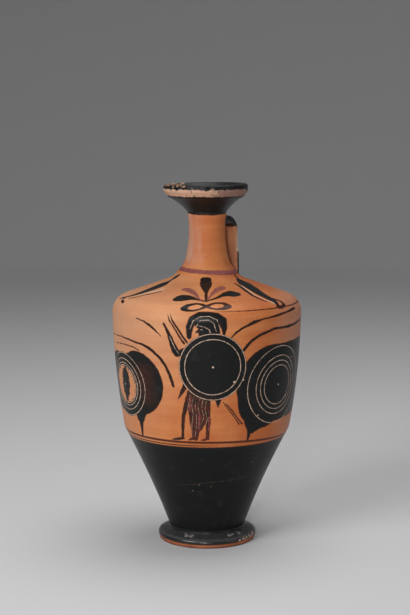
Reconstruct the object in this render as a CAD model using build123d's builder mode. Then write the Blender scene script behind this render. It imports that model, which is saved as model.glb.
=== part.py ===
from build123d import *
import os

# A shoulder lekythos, the oil flask: foot, body, neck and mouth are thrown on the wheel, the handle is a
# pulled strap, and each is joined to the next by a thin layer of slip.
# Heights run up from the table, radii out from the wheel's axis. The handle is at the back, on +Y.

# Heights of the pieces, from the table upwards
foot_height = 7.2
lower_wall_height = 56.7
picture_height = 71.9
shoulder_rise = 10.8
collar_height = 3.6
neck_height = 32.6
neck_flare_height = 7.6
mouth_height = 15.4

# Radii of the outside
base_radius = 21.2
belly_edge_radius = 46.3
shoulder_radius = 52.7
collar_foot_radius = 22.4
collar_radius = 16.9
neck_foot_radius = 12.0
neck_top_radius = 10.8
rim_radius = 23.4

# How far each curve of the outside leaves a straight line
lower_wall_hollow = 1.0
picture_swell = 1.6
neck_hollow = 1.25
mouth_hollow = 0.8

# Rounded edges of the body
belly_edge_rounding = 10.0
shoulder_edge_rounding = 9.5
floor_rounding = 6.0

# Walls and the bore
wall = 4.5
floor_thickness = 6.0
bore_radius = 6.5

# Joints
slip = 0.6
spigot_wall = 2.5
spigot_length = 5.0

# Foot: a disc that slopes up to the body and stands proud of a low band, hollowed underneath
foot_overhang = 6.4
foot_top_fall = 3.0
foot_edge_rounding = 2.0
band_height = 2.2
band_setback = 0.5
band_edge_rounding = 0.4
ring_width = 7.0
underside_hollow = 3.0

# Mouth: a flaring cup with a thick rim that leans outwards
rim_height = 7.0
rim_lean = 2.4
rim_lean_height = 3.4
rim_edge_rounding = 1.2
lip_width = 3.0
lip_rounding = 1.3
throat_height = 2.0
throat_rounding = 4.0

# Handle: a strap that leaves the neck level, turns down and stands on the shoulder
handle_width = 18.0
handle_thickness = 4.6
handle_edge_rounding = 1.8
handle_drop = 4.2
handle_reach = 22.0
handle_bend = 11.0
handle_spread = 0.8

# The stack of pieces, with a layer of slip in each joint
base_level = foot_height + slip
belly_edge_level = base_level + lower_wall_height
shoulder_edge_level = belly_edge_level + picture_height
collar_foot_level = shoulder_edge_level + shoulder_rise
collar_level = collar_foot_level + collar_height
neck_base_level = collar_level + slip
neck_flare_level = neck_base_level + neck_flare_height
neck_top_level = neck_base_level + neck_height
mouth_base_level = neck_top_level + slip
rim_level = mouth_base_level + mouth_height

spigot_radius = bore_radius + spigot_wall
opening_radius = spigot_radius + slip
spigot_level = neck_base_level - spigot_length
foot_radius = base_radius + foot_overhang
foot_edge_level = foot_height - foot_top_fall
handle_level = neck_top_level - handle_drop


def corner(section, radius, level):
    """The corner of a half section that lies nearest to a place."""
    return section.vertices().sort_by_distance((radius, level))[0]


def shoulder_lines(lift):
    """The shoulder's slope and the collar it turns up into, raised by a lift."""
    slope = Line(
        (shoulder_radius, shoulder_edge_level + lift),
        (collar_foot_radius, collar_foot_level + lift),
    )
    TangentArc(slope @ 1, (collar_radius, collar_level + lift), tangent=slope % 1)


def neck_lines(gap):
    """The outside of the neck from its top to its flared foot, drawn a gap further out."""
    side = SagittaArc(
        (neck_top_radius + gap, neck_top_level),
        (neck_foot_radius + gap, neck_flare_level),
        -neck_hollow,
    )
    TangentArc(side @ 1, (collar_radius + gap, neck_base_level), tangent=side % 1)


os.makedirs("parts", exist_ok=True)

# Foot
with BuildPart() as foot:
    with BuildSketch(Plane.XZ) as foot_section:
        with BuildLine():
            underside = TangentArc(
                (0, underside_hollow),
                (foot_radius - band_setback - ring_width, 0),
                tangent=(1, 0),
            )
            Polyline(
                underside @ 1,
                (foot_radius - band_setback, 0),
                (foot_radius - band_setback, band_height),
                (foot_radius, band_height),
                (foot_radius, foot_edge_level),
                (base_radius, foot_height),
                (0, foot_height),
                underside @ 0,
            )
        make_face()
        edge_rounding = min(foot_edge_rounding, 0.9 * foot_overhang, 0.9 * (foot_edge_level - band_height))
        fillet(corner(foot_section, foot_radius, foot_edge_level), edge_rounding)
        fillet(corner(foot_section, foot_radius, band_height), band_edge_rounding)
        fillet(corner(foot_section, foot_radius - band_setback, 0), band_edge_rounding)
    revolve(axis=Axis.Z)
foot.part.label = "foot"
export_step(foot.part, "parts/foot.step")

# Slip between the foot and the body
with BuildPart() as foot_joint_slip:
    with BuildSketch(Plane.XY.offset(foot_height)):
        Circle(base_radius)
    extrude(amount=slip)
foot_joint_slip.part.label = "foot_joint_slip"
export_step(foot_joint_slip.part, "parts/foot_joint_slip.step")

# Body with its shoulder and collar
with BuildPart() as body:
    with BuildSketch(Plane.XZ) as body_section:
        with BuildLine():
            lower_wall = SagittaArc(
                (base_radius, base_level),
                (belly_edge_radius, belly_edge_level),
                lower_wall_hollow,
            )
            SagittaArc(
                lower_wall @ 1,
                (shoulder_radius, shoulder_edge_level),
                -picture_swell,
            )
            shoulder_lines(0)
            Polyline(
                (collar_radius, collar_level),
                (0, collar_level),
                (0, base_level),
                lower_wall @ 0,
            )
        make_face()
        fillet(corner(body_section, belly_edge_radius, belly_edge_level), belly_edge_rounding)
        fillet(corner(body_section, shoulder_radius, shoulder_edge_level), shoulder_edge_rounding)
    revolve(axis=Axis.Z)
    # The hollow follows the outside a wall's thickness in, and leaves through the round opening
    floor_level = base_level + floor_thickness
    shoulder_slope = shoulder_rise / (shoulder_radius - collar_foot_radius)
    eaves_level = shoulder_edge_level - wall
    eaves_rise = shoulder_slope * (shoulder_radius - wall - opening_radius)
    with BuildSketch(Plane.XZ) as hollow_section:
        with BuildLine():
            inner_lower_wall = SagittaArc(
                (base_radius - wall, floor_level),
                (belly_edge_radius - wall, belly_edge_level),
                lower_wall_hollow,
            )
            inner_wall = SagittaArc(
                inner_lower_wall @ 1,
                (shoulder_radius - wall, eaves_level),
                -picture_swell,
            )
            Polyline(
                inner_wall @ 1,
                (opening_radius, eaves_level + eaves_rise),
                (opening_radius, collar_level + wall),
                (0, collar_level + wall),
                (0, floor_level),
                inner_lower_wall @ 0,
            )
        make_face()
        fillet(corner(hollow_section, base_radius - wall, floor_level), floor_rounding)
        fillet(corner(hollow_section, belly_edge_radius - wall, belly_edge_level), belly_edge_rounding)
        fillet(corner(hollow_section, shoulder_radius - wall, eaves_level), shoulder_edge_rounding - wall)
    revolve(axis=Axis.Z, mode=Mode.SUBTRACT)
body.part.label = "body"
export_step(body.part, "parts/body.step")

# Slip around the neck's spigot and under the neck's foot
with BuildPart() as neck_joint_slip:
    with BuildSketch(Plane.XZ):
        with BuildLine():
            Polyline(
                (spigot_radius, spigot_level),
                (opening_radius, spigot_level),
                (opening_radius, collar_level),
                (collar_radius, collar_level),
                (collar_radius, neck_base_level),
                (spigot_radius, neck_base_level),
                close=True,
            )
        make_face()
    revolve(axis=Axis.Z)
neck_joint_slip.part.label = "neck_joint_slip"
export_step(neck_joint_slip.part, "parts/neck_joint_slip.step")

# Neck with its straight bore and its spigot
with BuildPart() as neck:
    with BuildSketch(Plane.XZ):
        with BuildLine():
            neck_lines(0)
            Polyline(
                (collar_radius, neck_base_level),
                (spigot_radius, neck_base_level),
                (spigot_radius, spigot_level),
                (bore_radius, spigot_level),
                (bore_radius, neck_top_level),
                (neck_top_radius, neck_top_level),
            )
        make_face()
    revolve(axis=Axis.Z)
neck.part.label = "neck"
export_step(neck.part, "parts/neck.step")

# Slip between the neck and the mouth
with BuildPart() as mouth_joint_slip:
    with BuildSketch(Plane.XY.offset(neck_top_level)):
        Circle(neck_top_radius)
        Circle(bore_radius, mode=Mode.SUBTRACT)
    extrude(amount=slip)
mouth_joint_slip.part.label = "mouth_joint_slip"
export_step(mouth_joint_slip.part, "parts/mouth_joint_slip.step")

# Mouth
with BuildPart() as mouth:
    rim_under_level = rim_level - rim_height
    rim_edge_level = rim_under_level + rim_lean_height
    lip_radius = rim_radius - lip_width
    throat_level = mouth_base_level + throat_height
    with BuildSketch(Plane.XZ) as mouth_section:
        with BuildLine():
            flare = SagittaArc(
                (neck_top_radius, mouth_base_level),
                (rim_radius - rim_lean, rim_under_level),
                mouth_hollow,
            )
            cup = SagittaArc(
                (lip_radius, rim_level),
                (bore_radius, throat_level),
                -mouth_hollow,
            )
            Polyline(flare @ 1, (rim_radius, rim_edge_level), (rim_radius, rim_level), cup @ 0)
            Polyline(cup @ 1, (bore_radius, mouth_base_level), flare @ 0)
        make_face()
        edge_rounding = min(lip_rounding, 0.45 * lip_width)
        fillet(corner(mouth_section, rim_radius, rim_level), edge_rounding)
        fillet(corner(mouth_section, lip_radius, rim_level), edge_rounding)
        fillet(corner(mouth_section, rim_radius, rim_edge_level), rim_edge_rounding)
        fillet(corner(mouth_section, bore_radius, throat_level), min(throat_rounding, throat_height))
    revolve(axis=Axis.Z)
mouth.part.label = "mouth"
export_step(mouth.part, "parts/mouth.step")

# The neck and the shoulder as full solids, bare and with a layer of slip on them, to trim the strap to
with BuildPart() as neck_core:
    with BuildSketch(Plane.XZ):
        with BuildLine():
            neck_lines(0)
            Polyline(
                (collar_radius, neck_base_level),
                (0, neck_base_level),
                (0, neck_top_level),
                (neck_top_radius, neck_top_level),
            )
        make_face()
    revolve(axis=Axis.Z)

with BuildPart() as slipped_neck_core:
    with BuildSketch(Plane.XZ):
        with BuildLine():
            neck_lines(slip)
            Polyline(
                (collar_radius + slip, neck_base_level),
                (0, neck_base_level),
                (0, neck_top_level),
                (neck_top_radius + slip, neck_top_level),
            )
        make_face()
    revolve(axis=Axis.Z)

with BuildPart() as shoulder_core:
    with BuildSketch(Plane.XZ):
        with BuildLine():
            shoulder_lines(0)
            Polyline(
                (collar_radius, collar_level),
                (0, collar_level),
                (0, belly_edge_level),
                (shoulder_radius, belly_edge_level),
                (shoulder_radius, shoulder_edge_level),
            )
        make_face()
    revolve(axis=Axis.Z)

with BuildPart() as slipped_shoulder_core:
    with BuildSketch(Plane.XZ):
        with BuildLine():
            shoulder_lines(slip)
            Polyline(
                (collar_radius, collar_level + slip),
                (0, collar_level + slip),
                (0, belly_edge_level),
                (shoulder_radius, belly_edge_level),
                (shoulder_radius, shoulder_edge_level + slip),
            )
        make_face()
    revolve(axis=Axis.Z)

# The strap before it is trimmed runs from the axis at the neck to inside the shoulder
with BuildPart() as strap:
    with BuildLine(Plane.YZ) as strap_path:
        FilletPolyline(
            (0, handle_level),
            (handle_reach, handle_level),
            (handle_reach + handle_spread, shoulder_edge_level),
            radius=handle_bend,
        )
    with BuildSketch(Plane(origin=(0, 0, handle_level), x_dir=(1, 0, 0), z_dir=(0, 1, 0))):
        RectangleRounded(handle_width, handle_thickness, min(handle_edge_rounding, 0.45 * handle_thickness))
    sweep(path=strap_path.line)

# Handle
with BuildPart() as handle:
    add(strap.part)
    add(slipped_neck_core.part, mode=Mode.SUBTRACT)
    add(slipped_shoulder_core.part, mode=Mode.SUBTRACT)
handle.part.label = "handle"
export_step(handle.part, "parts/handle.step")

# Slip under the handle's two ends
with BuildPart() as handle_upper_slip:
    add(strap.part)
    add(slipped_neck_core.part, mode=Mode.INTERSECT)
    add(neck_core.part, mode=Mode.SUBTRACT)
handle_upper_slip.part.label = "handle_upper_slip"
export_step(handle_upper_slip.part, "parts/handle_upper_slip.step")

with BuildPart() as handle_lower_slip:
    add(strap.part)
    add(slipped_shoulder_core.part, mode=Mode.INTERSECT)
    add(shoulder_core.part, mode=Mode.SUBTRACT)
handle_lower_slip.part.label = "handle_lower_slip"
export_step(handle_lower_slip.part, "parts/handle_lower_slip.step")
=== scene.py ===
import math

import bmesh
import bpy
from bpy.props import FloatProperty, FloatVectorProperty, PointerProperty
from mathutils import Matrix, Vector, noise


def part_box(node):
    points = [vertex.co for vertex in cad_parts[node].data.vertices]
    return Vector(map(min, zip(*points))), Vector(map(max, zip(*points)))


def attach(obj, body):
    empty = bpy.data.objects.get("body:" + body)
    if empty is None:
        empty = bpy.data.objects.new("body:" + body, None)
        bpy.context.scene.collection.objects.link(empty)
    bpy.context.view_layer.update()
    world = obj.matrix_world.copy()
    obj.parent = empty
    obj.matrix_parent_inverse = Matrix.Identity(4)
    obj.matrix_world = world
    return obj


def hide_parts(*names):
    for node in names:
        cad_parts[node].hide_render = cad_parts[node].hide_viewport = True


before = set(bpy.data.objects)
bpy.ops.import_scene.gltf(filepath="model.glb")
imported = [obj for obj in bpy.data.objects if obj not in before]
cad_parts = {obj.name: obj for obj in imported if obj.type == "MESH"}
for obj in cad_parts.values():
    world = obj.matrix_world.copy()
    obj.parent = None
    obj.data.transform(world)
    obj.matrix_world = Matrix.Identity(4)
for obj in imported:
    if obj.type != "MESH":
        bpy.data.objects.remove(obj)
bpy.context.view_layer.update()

bl_info = {
    "name": "Eye lekythos",
    "version": (1, 0, 0),
    "blender": (4, 5, 0),
    "location": "View3D > Sidebar > Lekythos",
    "description": "Dresses the frame of an oil flask in painted clay and black gloss, and sets its stage",
    "category": "Object",
}

MM = 0.001
UP = Vector((0.0, 0.0, 1.0))

# Levels and radii that the frame gives
FOOT_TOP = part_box("foot_joint_slip")[0].z
FOOT_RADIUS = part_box("foot")[1].x
BASE_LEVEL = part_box("body")[0].z
COLLAR_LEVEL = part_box("body")[1].z
SPIGOT_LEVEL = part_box("neck")[0].z
NECK_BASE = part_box("neck_joint_slip")[1].z
NECK_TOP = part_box("neck")[1].z
MOUTH_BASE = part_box("mouth")[0].z
RIM_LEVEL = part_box("mouth")[1].z
RIM_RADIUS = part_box("mouth")[1].x
HANDLE_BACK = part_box("handle")[1].y
HANDLE_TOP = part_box("handle")[1].z


def length(name, description, millimetres):
    """A length that the panel shows, given here in millimetres."""
    return FloatProperty(
        name=name,
        description=description,
        default=millimetres * MM,
        min=0.0,
        unit="LENGTH",
        subtype="DISTANCE",
        precision=4,
    )


def angle(name, description, degrees):
    """An angle that the panel shows, given here in degrees."""
    return FloatProperty(
        name=name, description=description, default=math.radians(degrees), unit="ROTATION", subtype="ANGLE"
    )


def colour(name, description, red, green, blue):
    """A colour that the panel shows, in linear light."""
    return FloatVectorProperty(
        name=name,
        description=description,
        default=(red, green, blue),
        size=3,
        min=0.0,
        max=1.0,
        subtype="COLOR",
    )


def power(name, description, watts):
    """A lamp's power that the panel shows."""
    return FloatProperty(name=name, description=description, default=watts, min=0.0, unit="POWER")


class LekythosSizes(bpy.types.PropertyGroup):
    """Sizes of the thrown pieces and the strap handle."""

    base_radius: length("Base radius", "Radius of the body where it stands on the foot", 21.2)
    belly_radius: length("Belly edge radius", "Radius where the tapering wall meets the picture", 46.3)
    belly_level: length("Belly edge level", "Height where the tapering wall meets the picture", 64.5)
    shoulder_radius: length("Shoulder radius", "Radius of the shoulder's corner before it is rounded", 52.7)
    shoulder_level: length("Shoulder level", "Height of the shoulder's corner", 136.4)
    collar_foot_radius: length("Collar foot radius", "Radius where the shoulder turns up to the neck", 22.4)
    collar_foot_level: length("Collar foot level", "Height where the shoulder turns up to the neck", 147.2)
    collar_radius: length("Collar radius", "Radius of the joint with the neck", 16.9)
    neck_foot_radius: length("Neck foot radius", "Radius above the flare of the neck", 12.0)
    neck_flare_level: length("Neck flare level", "Height where the neck starts to flare", 159.0)
    neck_top_radius: length("Neck top radius", "Radius of the joint with the mouth", 10.8)
    wall: length("Wall", "Thickness of the body's wall", 4.5)
    bore_radius: length("Bore radius", "Radius of the bore in the neck", 6.5)
    handle_width: length("Handle width", "Width of the strap", 18.0)
    handle_thickness: length("Handle thickness", "Thickness of the strap", 4.6)
    handle_bend: length("Handle bend", "Radius of the strap's bend along its middle", 11.0)
    wobble: length("Wobble", "How far a thrown wall strays from true", 0.22)
    tool_marks: length("Tool marks", "Depth of the rings left by the turning tool", 0.035)


class LekythosColours(bpy.types.PropertyGroup):
    """Colours of the clay and of the painter's pots."""

    clay_light: colour("Light clay", "Reserved clay where it fired pale", 0.62, 0.262, 0.098)
    clay_deep: colour("Deep clay", "Reserved clay where it fired red", 0.42, 0.118, 0.036)
    gloss: colour("Black gloss", "Gloss that was laid on thickly", 0.0085, 0.0092, 0.0088)
    # Thin gloss, which is also the colour of the painted shade at the foot of the reserved band
    thin_gloss_and_shade: colour("Thin gloss", "Gloss that was laid on thinly", 0.085, 0.022, 0.012)
    added_red: colour("Added red", "Purple red laid over clay or gloss", 0.205, 0.062, 0.060)
    incised: colour("Incised line", "Clay that a graver opened in the gloss", 0.56, 0.40, 0.30)
    # Worn clay, which is also the pale colour that painted sheen mixes into the clay
    worn_clay_and_sheen: colour("Worn clay", "Clay where the gloss has worn away", 0.46, 0.305, 0.23)
    # Grey on the foot's upward slope: dust, and painted sheen where the slope faces the light
    dust_and_sheen: colour("Dust", "Dulled gloss on the foot", 0.060, 0.057, 0.059)
    scrape: colour("Scrape", "Pale scrapes on the foot's gloss", 0.42, 0.39, 0.38)
    floor: colour("Floor", "Paper under and behind the flask", 0.60, 0.60, 0.61)


class LekythosStage(bpy.types.PropertyGroup):
    """Where the picture's middle lies, and the camera and lamps that look at it."""

    turn: angle("Turn", "Angle from the front to the middle of the painted picture", 26.0)
    distance: length("Camera distance", "From the flask's axis to the camera", 804.95)
    aside: length("Camera aside", "How far the camera stands left of the axis", 1.05)
    height: length("Camera height", "Height of the camera above the table", 237.76)
    dip: angle("Camera dip", "How far the camera looks down", 7.553)
    lens: FloatProperty(name="Lens", description="Focal length", default=85.0, unit="CAMERA")
    key: power("Key lamp", "Large soft lamp at the front left", 2.95)
    front: power("Front lamp", "Small soft lamp beside the camera", 0.745)
    side: power("Side lamp", "Weak large lamp at the right", 0.8)
    top: power("Top lamp", "Soft lamp overhead", 4.0)


OUTLINE_STEP = 1.0 * MM
ROUNDING_STEP = 0.45 * MM


def bowed(start, end, bow, step):
    """Places after the start of an arc whose middle lies a bow to the left of the straight way."""
    chord = end - start
    turn = 2 * math.atan2(2 * bow, chord.length)
    count = max(1, round(chord.length / step))
    places = []
    for i in range(1, count + 1):
        share = i / count
        reach = math.sin(share * turn) / math.sin(turn) if turn else share
        places.append(start + Matrix.Rotation((1 - share) * turn, 2) @ chord * reach)
    return places


def bow_from(start, end, heading):
    """The bow of an arc that leaves its start along a heading."""
    chord = end - start
    turn = math.atan2(chord.x * heading.y - chord.y * heading.x, chord.dot(heading))
    return chord.length / 2 * math.tan(turn / 2)


class Outline:
    """Half a section of a thrown piece: places as (radius, level) along its edge."""

    def __init__(self, radius, level):
        self.places = [Vector((radius, level))]
        self.roundings = []

    def to(self, radius, level, bow=0.0, rounding=0.0, step=OUTLINE_STEP):
        """Goes on to a place by a shallow arc, and rounds the corner there."""
        self.places += bowed(self.places[-1], Vector((radius, level)), bow, step)
        self.roundings.append((len(self.places) - 1, rounding))
        return self

    def on_to(self, radius, level, step=OUTLINE_STEP):
        """Goes on to a place by the arc that keeps the last heading."""
        heading = self.places[-1] - self.places[-2]
        return self.to(radius, level, bow_from(self.places[-1], Vector((radius, level)), heading), 0.0, step)

    def rounded(self):
        """The places with every corner rounded."""
        places = list(self.places)
        for index, radius in reversed(self.roundings):
            if radius and 0 < index < len(places) - 1:
                places = round_corner(places, index, radius)
        return places


def round_corner(places, index, radius):
    """The places with an arc of a radius in the place of one corner."""
    corner = places[index]
    before = (corner - places[index - 1]).normalized()
    after = (places[index + 1] - corner).normalized()
    turn = math.atan2(before.x * after.y - before.y * after.x, before.dot(after))
    cut = radius * math.tan(abs(turn) / 2)
    first = index
    while first > 0 and (places[first] - corner).length < cut:
        first -= 1
    last = index
    while last < len(places) - 1 and (places[last] - corner).length < cut:
        last += 1
    start = corner - before * cut
    end = corner + after * cut
    bow = -math.copysign(radius * (1 - math.cos(turn / 2)), turn)
    return places[: first + 1] + [start] + bowed(start, end, bow, ROUNDING_STEP) + places[last:]


def radius_at(places, level):
    """The outline's radius at a level, where its level only rises."""
    for low, high in zip(places, places[1:]):
        if low.y <= level <= high.y and high.y > low.y:
            return low.x + (high.x - low.x) * (level - low.y) / (high.y - low.y)
    raise ValueError(f"the outline doesn't reach level {level}")


def level_at(places, radius):
    """The outline's level at a radius, where its radius only falls."""
    for outer, inner in zip(places, places[1:]):
        if inner.x <= radius <= outer.x and outer.x > inner.x:
            return outer.y + (inner.y - outer.y) * (outer.x - radius) / (outer.x - inner.x)
    raise ValueError(f"the outline doesn't reach radius {radius}")


LOWER_HOLLOW = 1.0 * MM
PICTURE_SWELL = 1.6 * MM
NECK_HOLLOW = 1.25 * MM
MOUTH_HOLLOW = 0.8 * MM
BELLY_ROUNDING = 10.0 * MM
SHOULDER_ROUNDING = 9.5 * MM
FLOOR_ROUNDING = 6.0 * MM
FLOOR_THICKNESS = 6.0 * MM
SPIGOT_WALL = 2.5 * MM
SLIP = 0.6 * MM
INSIDE_STEP = 3.0 * MM


def body_outside(sizes):
    """The body's outside from its base to its collar."""
    outline = Outline(sizes.base_radius, BASE_LEVEL)
    outline.to(sizes.belly_radius, sizes.belly_level, LOWER_HOLLOW, BELLY_ROUNDING)
    outline.to(sizes.shoulder_radius, sizes.shoulder_level, -PICTURE_SWELL, SHOULDER_ROUNDING)
    outline.to(sizes.collar_foot_radius, sizes.collar_foot_level)
    outline.on_to(sizes.collar_radius, COLLAR_LEVEL)
    return outline.rounded()


def body_inside(sizes):
    """The body's inside from its opening down to the middle of its floor."""
    opening = sizes.bore_radius + SPIGOT_WALL + SLIP
    rise = sizes.collar_foot_level - sizes.shoulder_level
    slope = rise / (sizes.shoulder_radius - sizes.collar_foot_radius)
    eaves = Vector((sizes.shoulder_radius - sizes.wall, sizes.shoulder_level - sizes.wall))
    floor_level = BASE_LEVEL + FLOOR_THICKNESS
    outline = Outline(opening, COLLAR_LEVEL)
    outline.to(opening, eaves.y + slope * (eaves.x - opening))
    outline.to(eaves.x, eaves.y, 0.0, SHOULDER_ROUNDING - sizes.wall, INSIDE_STEP)
    outline.to(sizes.belly_radius - sizes.wall, sizes.belly_level, PICTURE_SWELL, BELLY_ROUNDING, INSIDE_STEP)
    outline.to(sizes.base_radius - sizes.wall, floor_level, -LOWER_HOLLOW, FLOOR_ROUNDING, INSIDE_STEP)
    outline.to(0.0, floor_level, 0.0, 0.0, INSIDE_STEP)
    return outline.rounded()


def neck_outside(sizes):
    """The neck's outside from its flared foot to its top."""
    foot = Vector((sizes.collar_radius, NECK_BASE))
    waist = Vector((sizes.neck_foot_radius, sizes.neck_flare_level))
    top = Vector((sizes.neck_top_radius, NECK_TOP))
    side = bowed(waist, top, NECK_HOLLOW, OUTLINE_STEP)
    flare = -bow_from(waist, foot, waist - side[0])
    return [foot] + bowed(foot, waist, flare, OUTLINE_STEP) + side


EIGHTH = math.tau / 8
EIGHTH_STEPS = 30
MERGE_DISTANCE = MM / 1000
WOBBLE_SIZE = 48.0 * MM
TOOL_MARK_SIZE = 1.7 * MM
TRUE_BORES = 1.2
SHARP_ANGLE = math.radians(38.0)
FLAKE_GRAIN = 0.9 * MM
FLAKE_SHARE = 0.8
FLAKE_UNEVEN = 0.6


def of_kind(geometry, kind):
    """The items of one kind in a list of mixed geometry."""
    return [item for item in geometry if isinstance(item, kind)]


def half_section(places, closed=False):
    """A bmesh with half a section beside the wheel's axis, and its vertices and edges."""
    mesh = bmesh.new()
    verts = [mesh.verts.new((place.x, 0.0, place.y)) for place in places]
    edges = [mesh.edges.new(pair) for pair in zip(verts, verts[1:])]
    if closed:
        edges.append(mesh.edges.new((verts[-1], verts[0])))
    return mesh, verts + edges


def thrown(places, closed=False):
    """A piece off the wheel: half a section spun an eighth round the axis, and doubled to the full turn."""
    mesh, section = half_section(places, closed)
    bmesh.ops.spin(mesh, geom=section, axis=UP, angle=EIGHTH, steps=EIGHTH_STEPS)
    for eighths in (1, 2, 4):
        copied = bmesh.ops.duplicate(mesh, geom=[*mesh.verts, *mesh.edges, *mesh.faces])["geom"]
        turned = of_kind(copied, bmesh.types.BMVert)
        bmesh.ops.rotate(mesh, verts=turned, matrix=Matrix.Rotation(eighths * EIGHTH, 3, "Z"))
    bmesh.ops.remove_doubles(mesh, verts=mesh.verts, dist=MERGE_DISTANCE)
    bmesh.ops.recalc_face_normals(mesh, faces=mesh.faces)
    return mesh


def by_hand(mesh, sizes):
    """Moves a thrown wall off true and rings it with the tool's marks. What lies near the bore stays true."""
    for vert in mesh.verts:
        outward = Vector((vert.co.x, vert.co.y, 0.0))
        if outward.length > sizes.bore_radius * TRUE_BORES:
            stray = sizes.wobble * noise.noise(vert.co / WOBBLE_SIZE)
            ring = sizes.tool_marks * noise.noise(UP * vert.co.z / TOOL_MARK_SIZE)
            vert.co += outward.normalized() * (stray + ring)


def break_flake(mesh, place, inward, size, depth):
    """Breaks a flake off an edge: the surface near a place is pushed in, deepest at its middle."""
    for vert in mesh.verts:
        away = (vert.co - place).length / size
        if away < 1.0:
            ragged = FLAKE_SHARE + FLAKE_UNEVEN * noise.noise(vert.co / FLAKE_GRAIN)
            vert.co += inward * (depth * ragged * (1.0 - away * away))


def break_edge(mesh, turn, radius, flakes, size, depth):
    """Breaks flakes off a round edge at some (degrees, level), and gives the middle of each."""
    chips = []
    for degrees, level in flakes:
        out = bearing(turn, math.radians(degrees))
        chips.append(out * radius + UP * level * MM)
        break_flake(mesh, chips[-1], -out, size, depth)
    return chips


def lean(mesh, toward, base, top, shift, dip):
    """Leans a piece on its base: its top moves to one side, and dips there by a share of the way out."""
    for vert in mesh.verts:
        rise = (vert.co.z - base) / (top - base)
        vert.co += (toward * shift - UP * (dip * vert.co.dot(toward))) * rise


def placed(name, data):
    """A new object in the scene."""
    made = bpy.data.objects.new(name, data)
    bpy.context.scene.collection.objects.link(made)
    return made


def finished(name, mesh, finishes):
    """Makes a mesh an object in the scene, smooth and with its materials."""
    data = bpy.data.meshes.new(name)
    mesh.to_mesh(data)
    mesh.free()
    for finish in finishes:
        data.materials.append(finish.material)
    data.shade_smooth()
    return placed(name, data)


def piece(name, mesh, finishes, node):
    """Makes a mesh the piece that stands for a CAD node."""
    made = finished(name, mesh, finishes)
    made.data.set_sharp_from_angle(angle=SHARP_ANGLE)
    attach(made, "root")
    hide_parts(node)
    return made


class Field:
    """A number or vector that changes over a surface, with Python's arithmetic."""

    def __init__(self, nodes, socket):
        self.nodes = nodes
        self.socket = socket

    def maths(self, operation, *others):
        """The field that a sum of numbers gives."""
        return self.nodes.node("ShaderNodeMath", {"operation": operation}, dict(enumerate((self, *others))))

    def vector(self, operation, *others, output=0):
        """The field that a sum of vectors gives."""
        return self.nodes.node(
            "ShaderNodeVectorMath", {"operation": operation}, dict(enumerate((self, *others))), output
        )

    def clamped(self):
        """The number, kept between 0 and 1."""
        return self.nodes.node("ShaderNodeClamp", inputs={"Value": self})

    def __add__(self, other):
        return self.maths("ADD", other)

    __radd__ = __add__

    def __sub__(self, other):
        return self.maths("SUBTRACT", other)

    def __rsub__(self, other):
        return self.maths("MULTIPLY_ADD", -1.0, other)

    def __mul__(self, other):
        return self.maths("MULTIPLY", other)

    __rmul__ = __mul__

    def least(self, other):
        """The smaller of two numbers: what lies inside either of two edges."""
        return self.maths("MINIMUM", other)

    def most(self, other):
        """The larger of two numbers: what lies inside both of two edges."""
        return self.maths("MAXIMUM", other)

    def size(self):
        """The number without its sign."""
        return self.maths("ABSOLUTE")

    def above(self, edge, soft):
        """1 where the number is above an edge, and 0 below it, with a soft step between them."""
        return self.maths("MULTIPLY_ADD", 1.0 / soft, 0.5 - edge / soft).clamped()

    def inside(self, soft):
        """1 where a distance is below zero, and 0 outside, with a soft step between them."""
        return self.maths("MULTIPLY_ADD", -1.0 / soft, 0.5).clamped()


class Nodes:
    """A tree of shader nodes while it is put together."""

    def __init__(self, tree):
        self.tree = tree

    def node(self, kind, settings=None, inputs=None, output=0):
        """A node with its settings made and its sockets filled, as the field of one of its outputs."""
        node = self.tree.nodes.new(kind)
        for name, value in (settings or {}).items():
            setattr(node, name, value)
        for socket, value in (inputs or {}).items():
            if isinstance(value, Field):
                self.tree.links.new(value.socket, node.inputs[socket])
            else:
                node.inputs[socket].default_value = value
        return Field(self, node.outputs[output] if len(node.outputs) else None)


NOISE_ROUGHNESS = 0.55
CLAY_SHINE = 0.4
MIX_SHARE, MIX_FIRST, MIX_SECOND = 0, 6, 7
MIX_RESULT = 2


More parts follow.
